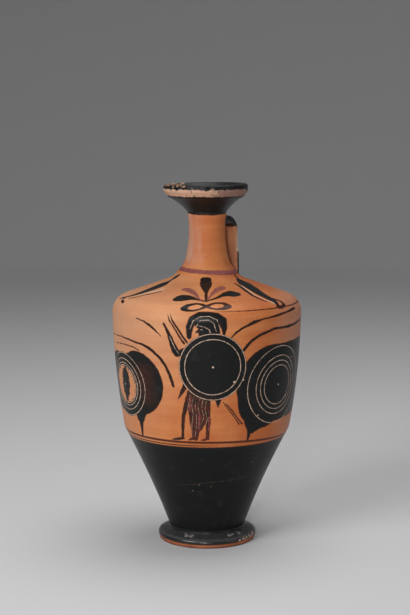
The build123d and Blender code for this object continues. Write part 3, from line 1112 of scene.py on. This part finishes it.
PICTURE_FINISH, SHOULDER_FINISH, LOWER_FINISH, INSIDE_FINISH = range(4)
SHOULDER_FINISH_LEVEL = 134.4 * MM
LOWER_FINISH_LEVEL = 58.0 * MM


def faces_inward(face, middle):
    """Whether a face of the body belongs to its hollow: it looks at the axis, or is the floor of it."""
    looks_in = face.normal.x * middle.x + face.normal.y * middle.y < -MM * MM
    return looks_in or (face.normal.z > 0.5 and middle.z < BASE_LEVEL + 2 * FLOOR_THICKNESS)


def body_finish(face):
    """Which of the body's finishes a face takes."""
    middle = face.calc_center_median()
    if faces_inward(face, middle):
        return INSIDE_FINISH
    if middle.z > SHOULDER_FINISH_LEVEL:
        return SHOULDER_FINISH
    return LOWER_FINISH if middle.z < LOWER_FINISH_LEVEL else PICTURE_FINISH


class LEKYTHOS_OT_body(bpy.types.Operator):
    """Throws the body and paints its shoulder and its picture"""

    bl_idname = "lekythos.body"
    bl_label = "Body"

    def execute(self, context):
        sizes, colours, stage = chosen(context)
        outside = body_outside(sizes)
        mesh = thrown([Vector((0.0, BASE_LEVEL))] + outside + body_inside(sizes))
        for face in mesh.faces:
            face.material_index = body_finish(face)
        by_hand(mesh, sizes)
        painter = Painter(outside, stage.turn)
        finishes = (
            picture_finish(colours, painter),
            shoulder_finish(colours, painter),
            lower_finish(colours, painter),
            bare_finish("inner_clay", colours),
        )
        piece("flask_body", mesh, finishes, "body")
        return {"FINISHED"}


class LEKYTHOS_OT_neck(bpy.types.Operator):
    """Throws the neck with its bore and its spigot"""

    bl_idname = "lekythos.neck"
    bl_label = "Neck"

    def execute(self, context):
        sizes, colours, stage = chosen(context)
        spigot = sizes.bore_radius + SPIGOT_WALL
        core = Outline(sizes.bore_radius, NECK_TOP).to(sizes.bore_radius, SPIGOT_LEVEL, step=INSIDE_STEP)
        core.to(spigot, SPIGOT_LEVEL).to(spigot, NECK_BASE)
        mesh = thrown(core.rounded() + neck_outside(sizes), closed=True)
        by_hand(mesh, sizes)
        piece("flask_neck", mesh, [neck_finish("neck_clay", colours, stage.turn)], "neck")
        return {"FINISHED"}


# Marks on the neck: where its painted sheen starts, its blot, and where the mouth's black starts, in
# millimetres
NECK_SHEEN_LEVEL = 157.0
NECK_SHEEN_SOFT = 6.0
NECK_STREAK_STRETCH = (1.0, 1.0, 0.2)
NECK_BLOT_LEVEL = 181.0
NECK_BLOT_RADIUS = 10.4
NECK_BLOT_HALF = 1.8
NECK_GLOSS_LEVEL = 184.0
NECK_GLOSS_DIP = 0.11


def neck_finish(name, colours, turn):
    """Clay with a red ring at its foot, a red blot near its top and the black of the mouth above, and painted
    sheen in pale streaks on its upper left.
    """
    finish = Finish(name)
    ragged = finish.frayed(3.0, 3.0)
    right = finish.along(rightwards(turn))
    ring = neck_ring(finish, right).inside(0.4) * (finish.grain(2.5, 3.0) + 0.45)
    upper = finish.level.above(NECK_SHEEN_LEVEL, NECK_SHEEN_SOFT)
    # Painted sheen: pale streaks over the upper neck, strongest at the left
    painted_sheen = (finish.grain(4.5, 3.0, NECK_STREAK_STRETCH) * 1.6 - 0.85 - right * 0.07).clamped() * 0.75
    # The upper neck's clay deepens towards the left and pales towards the right: partly a deeper fired tone,
    # partly painted light on the right side
    fired = clay(finish, colours, (right * 0.035 - 0.26) * upper)
    base = finish.mix(painted_sheen * upper, fired, colours.worn_clay_and_sheen)
    base = finish.mix(ring, base, colours.added_red)
    front = bearing(turn, 0.0)
    blot = front * NECK_BLOT_RADIUS + UP * NECK_BLOT_LEVEL
    blotted = (from_point(finish.place, blot) - NECK_BLOT_HALF + ragged * 4.0).inside(3.0) * 0.5
    base = finish.mix(blotted, base, colours.clay_deep)
    black_edge = finish.level - NECK_GLOSS_LEVEL + finish.along(front) * NECK_GLOSS_DIP + ragged * 0.8
    glossy = black_edge.above(0.4, 0.25)
    base = finish.mix(glossy, base, black(finish, colours, 0.3))
    rough = finish.grain(5.0) * 0.1 + CLAY_ROUGHNESS - glossy * 0.15
    return finish.surface(base, rough, clay_relief(finish), BODY_SHINE)


RIM_HEIGHT = 7.0 * MM
RIM_LEAN = 2.4 * MM
RIM_LEAN_HEIGHT = 3.4 * MM
RIM_UNDER_ROUNDING = 0.8 * MM
RIM_EDGE_ROUNDING = 1.2 * MM
LIP_WIDTH = 3.0 * MM
LIP_ROUNDING = 1.3 * MM
CUP_FLOOR = 2.0 * MM
FINE_STEP = 0.5 * MM
MOUTH_SHIFT = 0.8 * MM
MOUTH_DIP = 0.014
RIM_FLAKES = (
    (-75.0, 198.8), (-58.0, 198.5), (-44.0, 198.9), (-31.0, 198.3),
    (-19.0, 198.7), (-8.0, 198.4), (6.0, 198.8),
)
RIM_FLAKE_SIZE = 2.3 * MM
RIM_FLAKE_DEPTH = 0.5 * MM


class LEKYTHOS_OT_mouth(bpy.types.Operator):
    """Throws the cup mouth and wears its rim"""

    bl_idname = "lekythos.mouth"
    bl_label = "Mouth"

    def execute(self, context):
        sizes, colours, stage = chosen(context)
        rim_under = RIM_LEVEL - RIM_HEIGHT
        outline = Outline(sizes.bore_radius, MOUTH_BASE).to(sizes.neck_top_radius, MOUTH_BASE)
        outline.to(RIM_RADIUS - RIM_LEAN, rim_under, MOUTH_HOLLOW, RIM_UNDER_ROUNDING, FINE_STEP)
        outline.to(RIM_RADIUS, rim_under + RIM_LEAN_HEIGHT, 0.0, RIM_EDGE_ROUNDING, FINE_STEP)
        outline.to(RIM_RADIUS, RIM_LEVEL, 0.0, LIP_ROUNDING, FINE_STEP)
        outline.to(RIM_RADIUS - LIP_WIDTH, RIM_LEVEL, 0.0, LIP_ROUNDING, FINE_STEP)
        outline.to(sizes.bore_radius, MOUTH_BASE + CUP_FLOOR, -MOUTH_HOLLOW, CUP_FLOOR, FINE_STEP)
        mesh = thrown(outline.rounded(), closed=True)
        by_hand(mesh, sizes)
        break_edge(mesh, stage.turn, RIM_RADIUS, RIM_FLAKES, RIM_FLAKE_SIZE, RIM_FLAKE_DEPTH)
        lean(mesh, -rightwards(stage.turn), MOUTH_BASE, RIM_LEVEL, MOUTH_SHIFT, MOUTH_DIP)
        piece("flask_mouth", mesh, [mouth_finish(colours, stage.turn)], "mouth")
        return {"FINISHED"}


# Marks on the mouth, in millimetres
RIM_BAND_LOW = 193.9
RIM_BAND_HIGH = 197.6
RIM_BAND_INNER = 20.8
RED_SIDE = 5.0
RED_END = 21.8
LIP_FLAKES_LEVEL = 198.6
LIP_FLAKES_SIDE = -13.0


def mouth_finish(colours, turn):
    """Black gloss, worn to bare clay round the rim and red at one side of it."""
    finish = Finish("mouth_gloss")
    ragged = finish.frayed(2.2, 4.0)
    radius = finish.radius()
    right = finish.along(rightwards(turn))
    band = radius.above(RIM_BAND_INNER, 0.4) * (finish.level + ragged * 2.0).above(RIM_BAND_LOW, 0.4)
    band = band * (RIM_BAND_HIGH - finish.level + ragged * 2.6).above(0.0, 0.4)
    side = (right - RED_SIDE + ragged * 16.0).above(0.0, 3.0)
    speck = 1.0 - finish.grain(1.5, 3.0).above(0.63, 0.06)
    worn = band * (1.0 - side) * speck
    reddened = band * side * (RED_END - right + ragged * 2.0).above(0.0, 1.5) * 0.75
    # Pale flecks on the lip's top at the left: flaked gloss, partly painted glints on the chipped edge
    lip = (finish.level - LIP_FLAKES_LEVEL).above(0.0, 0.3)
    lip = lip * (LIP_FLAKES_SIDE - right + ragged * 8.0).above(0.0, 2.0)
    flaked = lip * finish.grain(2.4, 3.0).above(0.53, 0.05)
    base = worn_black(finish, colours)
    rubbed = finish.mix(finish.grain(1.6, 3.0), colours.added_red, colours.worn_clay_and_sheen)
    base = finish.mix(reddened, base, rubbed)
    tan = finish.mix(finish.grain(1.2, 3.0).above(0.5, 0.3) * 0.5, colours.worn_clay_and_sheen, colours.clay_light)
    base = finish.mix(worn.most(flaked), base, tan)
    rough = gloss_rough(finish) + worn * 0.3 + reddened * 0.2
    return finish.surface(base, rough, clay_relief(finish) + worn * ragged * 0.25, GLOSS_SHINE)


FOOT_BAND_SET_IN = 0.5 * MM
FOOT_BAND_HEIGHT = 2.2 * MM
FOOT_TOP_FALL = 3.0 * MM
FOOT_EDGE_ROUNDING = 2.0 * MM
FOOT_CREASE = 0.4 * MM
FOOT_HOLLOW = 3.0 * MM
FOOT_RING = 7.0 * MM
FOOT_FLAKES = ((42.0, 2.6), (48.0, 3.4), (54.0, 2.8), (60.0, 3.8), (66.0, 3.0), (72.0, 3.8))
FOOT_FLAKE_SIZE = 2.0 * MM
FOOT_FLAKE_DEPTH = 0.6 * MM

# Marks on the foot, in millimetres, and the scuffs in degrees past the picture's middle
FOOT_CHIP_HALF = 0.9
FOOT_SHADE_HEIGHT = 0.9
FOOT_PATCH = 6.0
FOOT_SLOPE_LEVEL = 4.1
FOOT_SLOPE_RADIUS = 23.9
FOOT_SLOPE_HALF = 2.0
FOOT_SCUFFS = (-29.0, -25.0, -21.0, 31.0, 36.0, 48.0)
FOOT_SCUFF_DROP = 1.4
FOOT_SCUFF_HALF = 0.9
FOOT_SHINE = 0.45


class LEKYTHOS_OT_foot(bpy.types.Operator):
    """Throws the foot, with its reserved band and its chips"""

    bl_idname = "lekythos.foot"
    bl_label = "Foot"

    def execute(self, context):
        sizes, colours, stage = chosen(context)
        band_radius = FOOT_RADIUS - FOOT_BAND_SET_IN
        start = Vector((0.0, FOOT_HOLLOW))
        ring = Vector((band_radius - FOOT_RING, 0.0))
        outline = Outline(*start).to(*ring, bow_from(start, ring, Vector((1.0, 0.0))))
        outline.to(band_radius, 0.0, 0.0, FOOT_CREASE, FINE_STEP)
        outline.to(band_radius, FOOT_BAND_HEIGHT, 0.0, 0.0, FINE_STEP)
        outline.to(FOOT_RADIUS, FOOT_BAND_HEIGHT, 0.0, FOOT_CREASE, FINE_STEP)
        outline.to(FOOT_RADIUS, FOOT_TOP - FOOT_TOP_FALL, 0.0, FOOT_EDGE_ROUNDING, FINE_STEP)
        outline.to(sizes.base_radius, FOOT_TOP, 0.0, 0.0, FINE_STEP)
        outline.to(0.0, FOOT_TOP, 0.0, 0.0, INSIDE_STEP)
        mesh = thrown(outline.rounded())
        by_hand(mesh, sizes)
        chips = break_edge(mesh, stage.turn, FOOT_RADIUS, FOOT_FLAKES, FOOT_FLAKE_SIZE, FOOT_FLAKE_DEPTH)
        piece("flask_foot", mesh, [foot_finish(colours, chips, stage.turn)], "foot")
        return {"FINISHED"}


def foot_finish(colours, chips, turn):
    """Black gloss above, greyed by dust and painted sheen on its upward slope, reserved clay on the low band
    and underneath, with painted shade at the band's foot, pale clay in the chips.
    """
    finish = Finish("foot_gloss")
    ragged = finish.frayed(2.5, 3.0)
    fine = finish.frayed(1.0, 2.0)
    reserved = (FOOT_BAND_HEIGHT / MM - 0.1 - finish.level + ragged * 0.5).above(0.0, 0.2)
    chipped = (dabs(finish.place, [chip / MM for chip in chips], FOOT_CHIP_HALF) + fine * 4.0).inside(0.3)
    radius = finish.radius()
    # Dust and painted sheen on the upward slope, paler at its two edges: rubbed wear and painted highlight
    slope = finish.level.above(FOOT_SLOPE_LEVEL, 0.8)
    rubbed = ((radius - FOOT_SLOPE_RADIUS).size() - FOOT_SLOPE_HALF + ragged).above(0.0, 0.4)
    dust_and_sheen = slope * (finish.grain(5.0, 4.0) * 0.9 + rubbed * 0.5)
    base = finish.mix(dust_and_sheen, black(finish, colours), colours.dust_and_sheen)
    mid_slope = UP * (FOOT_TOP / MM - FOOT_SCUFF_DROP)
    bearings = [bearing(turn, math.radians(degrees)) for degrees in FOOT_SCUFFS]
    scuffs = [out * FOOT_SLOPE_RADIUS + mid_slope for out in bearings]
    scuffed = (dabs(finish.place, scuffs, FOOT_SCUFF_HALF) + fine * 5.0).inside(0.4) * 0.42
    base = finish.mix(scuffed, base, colours.scrape)
    # Painted shade darkens the band's lowest millimetre; cloudy patches darken the rest of it at random
    bottom_shade_and_tone = (FOOT_SHADE_HEIGHT - finish.level + ragged * 0.5).above(0.0, 0.3) * 0.45
    bottom_shade_and_tone = bottom_shade_and_tone + finish.grain(7.0, 3.0) * 0.8
    red_clay = finish.mix(0.9, clay(finish, colours), colours.clay_deep)
    base = finish.mix(reserved, base, finish.mix(bottom_shade_and_tone, red_clay, colours.thin_gloss_and_shade))
    base = finish.mix(chipped, base, colours.worn_clay_and_sheen)
    rough = gloss_rough(finish, 0.25, GLOSS_ROUGHNESS - 0.16, FOOT_PATCH) + reserved.most(chipped) * 0.2
    return finish.surface(base, rough, clay_relief(finish), FOOT_SHINE)


STRAP_STEP = 0.8 * MM
STRAP_EDGE = 1.8 * MM
STRAP_EDGE_SEGMENTS = 5
STRAP_CUTS = 23
STRAP_SPREAD = 0.8 * MM
STRAP_SUNK = 2.0 * MM


def strap_section(sizes):
    """A bmesh with the rounded section of the strap, flat across the way it runs, and its edges."""
    mesh = bmesh.new()
    half_width = sizes.handle_width / 2
    half_thickness = sizes.handle_thickness / 2
    corners = ((-half_width, -half_thickness), (half_width, -half_thickness))
    corners += ((half_width, half_thickness), (-half_width, half_thickness))
    mesh.faces.new([mesh.verts.new((x, 0.0, z)) for x, z in corners])
    bmesh.ops.bevel(
        mesh,
        geom=list(mesh.verts),
        offset=STRAP_EDGE,
        segments=STRAP_EDGE_SEGMENTS,
        profile=0.5,
        material=-1,
        affect="VERTICES",
    )
    long_edges = [edge for edge in mesh.edges if edge.calc_length() > half_width]
    bmesh.ops.subdivide_edges(mesh, edges=long_edges, cuts=STRAP_CUTS)
    across = [edge for edge in mesh.edges if not edge.is_boundary]
    bmesh.ops.delete(mesh, geom=across, context="EDGES")
    return mesh


def strap_stations(sizes):
    """Where the strap's middle runs: pairs of a place and the angle it has turned down by."""
    level = HANDLE_TOP - sizes.handle_thickness / 2
    back = HANDLE_BACK - sizes.handle_thickness / 2
    bend = sizes.handle_bend
    drop = level - sizes.shoulder_level
    spread = math.atan2(STRAP_SPREAD, drop)
    turn = math.pi / 2 - spread
    bend_start = back - drop * math.tan(spread) - bend * math.tan(turn / 2)
    level_run = bend_start - sizes.neck_top_radius
    stations = []
    count = max(2, round(level_run / STRAP_STEP))
    for i in range(count):
        stations.append((Vector((0.0, sizes.neck_top_radius + level_run * i / count, level)), 0.0))
    centre = Vector((0.0, bend_start, level - bend))
    count = round(bend * turn / STRAP_STEP)
    for i in range(count + 1):
        down = turn * i / count
        stations.append((centre + Vector((0.0, math.sin(down), math.cos(down))) * bend, down))
    last = stations[-1][0]
    along = Vector((0.0, math.cos(turn), -math.sin(turn)))
    down_run = (last.z - sizes.collar_foot_level + STRAP_SUNK) / math.sin(turn)
    count = round(down_run / STRAP_STEP)
    for i in range(1, count + 1):
        stations.append((last + along * down_run * i / count, turn))
    return stations


STRAP_FLAKES = (163.0, 165.5, 168.0, 170.5, 173.0)
STRAP_FLAKE_SIZE = 2.4 * MM
STRAP_FLAKE_DEPTH = 0.8 * MM


def pulled(sizes, placings):
    """Clay pulled along a way: the strap's section repeated at each placing, and the rings that it leaves."""
    mesh = strap_section(sizes)
    edges = list(mesh.edges)
    rings = [list(mesh.verts)]
    bmesh.ops.transform(mesh, matrix=placings[0], verts=rings[0])
    for before, after in zip(placings, placings[1:]):
        grown = bmesh.ops.extrude_edge_only(mesh, edges=edges)["geom"]
        edges = of_kind(grown, bmesh.types.BMEdge)
        rings.append(of_kind(grown, bmesh.types.BMVert))
        bmesh.ops.transform(mesh, matrix=after @ before.inverted(), verts=rings[-1])
    return mesh, rings


def placing(place, down):
    """The matrix of a section at a place on the strap's middle, turned down by an angle."""
    return Matrix.Translation(place) @ Matrix.Rotation(-down, 4, "X")


def closed_ends(mesh):
    """Fills the two open ends of a pulled piece."""
    rims = [edge for edge in mesh.edges if edge.is_boundary]
    ends = bmesh.ops.holes_fill(mesh, edges=rims, sides=0)["faces"]
    bmesh.ops.triangulate(mesh, faces=ends, ngon_method="BEAUTY")
    bmesh.ops.recalc_face_normals(mesh, faces=mesh.faces)


def set_on_neck(verts, neck, lift):
    """Moves the end of the strap or its slip to the neck's round wall, a lift away from it."""
    for vert in verts:
        radius = radius_at(neck, min(vert.co.z, NECK_TOP)) + lift
        vert.co.y = math.sqrt(max(radius * radius - vert.co.x * vert.co.x, 0.0))


def set_on_shoulder(verts, shoulder, lift):
    """Moves the end of the strap or its slip to the sloping shoulder, a lift above it."""
    for vert in verts:
        vert.co.z = level_at(shoulder, math.hypot(vert.co.x, vert.co.y)) + lift


class LEKYTHOS_OT_handle(bpy.types.Operator):
    """Pulls the strap handle from the neck to the shoulder"""

    bl_idname = "lekythos.handle"
    bl_label = "Handle"

    def execute(self, context):
        sizes, colours, _ = chosen(context)
        mesh, rings = pulled(sizes, [placing(*station) for station in strap_stations(sizes)])
        set_on_neck(rings[0], neck_outside(sizes), SLIP)
        set_on_shoulder(rings[-1], body_outside(sizes), SLIP)
        closed_ends(mesh)
        back = HANDLE_BACK - sizes.handle_thickness / 2
        chips = [Vector((sizes.handle_width / 2, back, level * MM)) for level in STRAP_FLAKES]
        for chip in chips:
            break_flake(mesh, chip, Vector((-1.0, 0.0, 0.0)), STRAP_FLAKE_SIZE, STRAP_FLAKE_DEPTH)
        piece("flask_handle", mesh, [handle_finish(sizes, colours, chips)], "handle")
        return {"FINISHED"}


# Marks on the strap, in millimetres, and how far its back leans for each of them
STRAP_LEAN = 0.018
STRAP_BARE_EDGE = 1.3
STRAP_CHIP_HALF = 2.3
STRAP_BLACK_LEVEL = 175.5


def handle_finish(sizes, colours, chips):
    """Black gloss, left bare on the face towards the neck, where the clay is painted a little paler as
    painted light, and chipped along one edge.
    """
    finish = Finish("handle_gloss")
    ragged = finish.frayed(2.2, 3.0)
    inner = (HANDLE_BACK - sizes.handle_thickness + STRAP_LEAN * sizes.shoulder_level) / MM
    bare = (inner + STRAP_BARE_EDGE - finish.along((0.0, 1.0, STRAP_LEAN)) + ragged * 1.4).above(0.0, 0.3)
    bare = bare * (STRAP_BLACK_LEVEL - finish.level + ragged * 5.0).above(0.0, 0.5)
    chipped = (dabs(finish.place, [chip / MM for chip in chips], STRAP_CHIP_HALF) + ragged * 2.4).inside(0.3)
    base = worn_black(finish, colours)
    # Painted light: the bare clay is mixed a quarter towards pale clay, to light the face that the neck
    # shades
    base = finish.mix(bare, base, finish.mix(0.25, clay(finish, colours), colours.worn_clay_and_sheen))
    base = finish.mix(chipped, base, colours.incised)
    rough = gloss_rough(finish) + bare.most(chipped) * 0.2
    return finish.surface(base, rough, clay_relief(finish), GLOSS_SHINE)


# Slip squeezed out round an end of the strap: how far out from the strap, and how far off the wall
SQUEEZED = ((0.8, -0.3), (1.0, 0.3), (0.55, 0.9), (0.05, 1.6))


class LEKYTHOS_OT_handle_slips(bpy.types.Operator):
    """Squeezes slip out of the two joints of the strap handle"""

    bl_idname = "lekythos.handle_slips"
    bl_label = "Handle slips"

    def execute(self, context):
        sizes, colours, _ = chosen(context)
        stations = strap_stations(sizes)
        neck, shoulder = neck_outside(sizes), body_outside(sizes)
        gloss = gloss_finish("upper_slip_gloss", colours)
        bare = bare_finish("lower_slip_clay", colours)
        ends = (
            ("upper_slip", stations[0], set_on_neck, neck, gloss),
            ("lower_slip", stations[-1], set_on_shoulder, shoulder, bare),
        )
        for name, station, settle, wall, finish in ends:
            placings = [placing(*station) @ self.grown(sizes, out * MM) for out, _ in SQUEEZED]
            mesh, rings = pulled(sizes, placings)
            for ring, (_, lift) in zip(rings, SQUEEZED):
                settle(ring, wall, lift * MM)
            closed_ends(mesh)
            piece(f"strap_{name}", mesh, [finish], f"handle_{name}")
        return {"FINISHED"}

    def grown(self, sizes, out):
        """The matrix that makes the strap's section larger all round."""
        wider = 1.0 + 2 * out / sizes.handle_width
        thicker = 1.0 + 2 * out / sizes.handle_thickness
        return Matrix.Diagonal((wider, 1.0, thicker, 1.0))


# Slip squeezed out between the foot and the body: how far its bead stands out and reaches down and up
BEAD_STEP = 0.15 * MM
BEAD_LOW_OUT = 0.7 * MM
BEAD_FALL = 0.45 * MM
BEAD_HIGH_OUT = 0.4 * MM
BEAD_RISE = 0.7 * MM
BEAD_BOW = 0.1 * MM
BEAD_TUCK = 0.5 * MM
SLIP_HOLLOW = 0.06 * MM


class LEKYTHOS_OT_joint_slips(bpy.types.Operator):
    """Lays the slip in the three round joints of the thrown pieces"""

    bl_idname = "lekythos.joint_slips"
    bl_label = "Joint slips"

    def execute(self, context):
        sizes, colours, stage = chosen(context)
        base, spigot = sizes.base_radius, sizes.bore_radius + SPIGOT_WALL
        foot = Outline(0.0, FOOT_TOP).to(base, FOOT_TOP)
        foot.to(base + BEAD_LOW_OUT, FOOT_TOP - BEAD_FALL, 0.0, 0.0, BEAD_STEP)
        foot.to(base + BEAD_HIGH_OUT, BASE_LEVEL + BEAD_RISE, BEAD_BOW, 0.0, BEAD_STEP)
        foot.to(base - BEAD_TUCK, BASE_LEVEL, 0.0, 0.0, BEAD_STEP).to(0.0, BASE_LEVEL)
        neck = Outline(spigot, SPIGOT_LEVEL).to(spigot + SLIP, SPIGOT_LEVEL).to(spigot + SLIP, COLLAR_LEVEL)
        neck.to(sizes.collar_radius, COLLAR_LEVEL)
        neck.to(sizes.collar_radius, NECK_BASE, -SLIP_HOLLOW, 0.0, BEAD_STEP).to(spigot, NECK_BASE)
        mouth = Outline(sizes.bore_radius, NECK_TOP).to(sizes.neck_top_radius, NECK_TOP)
        mouth.to(sizes.neck_top_radius, MOUTH_BASE, -SLIP_HOLLOW, 0.0, BEAD_STEP)
        mouth.to(sizes.bore_radius, MOUTH_BASE)
        gloss = gloss_finish("glossed_slip", colours)
        bare = neck_finish("neck_slip_clay", colours, stage.turn)
        joints = (
            ("foot_slip", foot, False, gloss, "foot_joint_slip"),
            ("neck_slip", neck, True, bare, "neck_joint_slip"),
            ("mouth_slip", mouth, True, gloss, "mouth_joint_slip"),
        )
        for name, outline, closed, finish, node in joints:
            mesh = thrown(outline.rounded(), closed)
            by_hand(mesh, sizes)
            piece(name, mesh, [finish], node)
        return {"FINISHED"}


# Each lamp: metres to the right, to the front and up, its width, and how far its light spreads
LAMPS = {
    "key": ((-0.66, 0.70, 0.60), 0.55, math.radians(120.0)),
    "front": ((-0.09, 0.95, 0.32), 0.14, math.radians(90.0)),
    "side": ((0.80, 0.50, 0.35), 0.60, math.pi),
    "top": ((0.10, -0.10, 0.95), 0.70, math.pi),
}
LAMP_AIM = Vector((0.0, 0.0, 0.1))
STUDIO_GREY = (0.8, 0.8, 0.8)
STUDIO_STRENGTH = 0.24
SENSOR_WIDTH = 36.0

# The paper: radius of its flat part, then (radius, level) where its sweep ends and at its top, in metres
PAPER_FLAT = 1.4
PAPER_SWEEP = (2.2, 1.0)
PAPER_SWEEP_BOW = 0.25
PAPER_SWEEP_STEP = 0.05
PAPER_TOP = (2.3, 2.0)
PAPER_STEP = 0.2
PAPER_AROUND = 96
PAPER_ROUGHNESS = 0.9


class LEKYTHOS_OT_stage(bpy.types.Operator):
    """Sets the paper floor, the soft lamps and the camera"""

    bl_idname = "lekythos.stage"
    bl_label = "Stage"

    def execute(self, context):
        _, colours, stage = chosen(context)
        self.lay_floor(colours)
        for name in LAMPS:
            self.hang_lamp(name, stage)
        self.light_studio(context)
        self.set_camera(context, stage)
        context.scene.view_settings.view_transform = "Standard"
        return {"FINISHED"}

    def lay_floor(self, colours):
        """Lays paper under the flask and sweeps it up all round."""
        outline = Outline(0.0, 0.0).to(PAPER_FLAT, 0.0, step=PAPER_STEP)
        outline.to(*PAPER_SWEEP, -PAPER_SWEEP_BOW, step=PAPER_SWEEP_STEP).to(*PAPER_TOP, step=PAPER_STEP)
        mesh, section = half_section(outline.places)
        bmesh.ops.spin(mesh, geom=section, axis=UP, angle=math.tau, steps=PAPER_AROUND, use_merge=True)
        bmesh.ops.remove_doubles(mesh, verts=mesh.verts, dist=MM)
        bmesh.ops.recalc_face_normals(mesh, faces=mesh.faces)
        bmesh.ops.reverse_faces(mesh, faces=mesh.faces)
        finish = Finish("paper")
        finish.surface(rgba(colours.floor), PAPER_ROUGHNESS, finish.grain(0.6) * 0.01)
        finished("floor", mesh, [finish])

    def at(self, stage, right, near, level):
        """A place given to the right of the picture's middle, to the front of it and above the table."""
        return rightwards(stage.turn) * right + bearing(stage.turn, 0.0) * near + UP * level

    def hang_lamp(self, name, stage):
        """Hangs a round soft lamp and aims it at the flask."""
        place, width, spread = LAMPS[name]
        lamp = bpy.data.lights.new(name, "AREA")
        lamp.shape = "DISK"
        lamp.size = width
        lamp.energy = getattr(stage, name)
        lamp.spread = spread
        hung = placed(name, lamp)
        hung.location = self.at(stage, *place)
        hung.rotation_euler = (LAMP_AIM - hung.location).to_track_quat("-Z", "Y").to_euler()

    def light_studio(self, context):
        """Fills the studio with weak grey light."""
        world = context.scene.world or bpy.data.worlds.new("studio")
        context.scene.world = world
        world.use_nodes = True
        background = world.node_tree.nodes["Background"]
        background.inputs["Color"].default_value = rgba(STUDIO_GREY)
        background.inputs["Strength"].default_value = STUDIO_STRENGTH

    def set_camera(self, context, stage):
        """Stands the camera in front of the picture, looking a little down."""
        lens = bpy.data.cameras.new("camera")
        lens.lens = stage.lens
        lens.sensor_width = SENSOR_WIDTH
        camera = placed("camera", lens)
        camera.location = self.at(stage, -stage.aside, stage.distance, stage.height)
        camera.rotation_euler = (math.pi / 2 - stage.dip, 0.0, stage.turn)
        context.scene.camera = camera


class LEKYTHOS_PT_making(bpy.types.Panel):
    """Lists the steps that dress the flask"""

    bl_idname = "LEKYTHOS_PT_making"
    bl_label = "Lekythos"
    bl_space_type = "VIEW_3D"
    bl_region_type = "UI"
    bl_category = "Lekythos"

    def draw(self, context):
        for step in STEPS:
            self.layout.operator(step.bl_idname)
        for name in SETTINGS:
            group = getattr(context.scene, name)
            box = self.layout.box()
            for prop in group.__annotations__:
                box.prop(group, prop)


STEPS = (
    LEKYTHOS_OT_body,
    LEKYTHOS_OT_neck,
    LEKYTHOS_OT_mouth,
    LEKYTHOS_OT_foot,
    LEKYTHOS_OT_handle,
    LEKYTHOS_OT_handle_slips,
    LEKYTHOS_OT_joint_slips,
    LEKYTHOS_OT_stage,
)
SETTINGS = {
    "lekythos_sizes": LekythosSizes,
    "lekythos_colours": LekythosColours,
    "lekythos_stage": LekythosStage,
}
CLASSES = (*SETTINGS.values(), *STEPS, LEKYTHOS_PT_making)


def register():
    """Adds the settings, the steps and the panel to Blender."""
    for made in CLASSES:
        bpy.utils.register_class(made)
    for name, group in SETTINGS.items():
        setattr(bpy.types.Scene, name, PointerProperty(type=group))


def unregister():
    """Takes them out again."""
    for name in SETTINGS:
        delattr(bpy.types.Scene, name)
    for made in reversed(CLASSES):
        bpy.utils.unregister_class(made)


def main():
    """Makes every piece and the stage."""
    register()
    for step in STEPS:
        family, name = step.bl_idname.split(".")
        getattr(getattr(bpy.ops, family), name)()


if __name__ == "__main__":
    main()
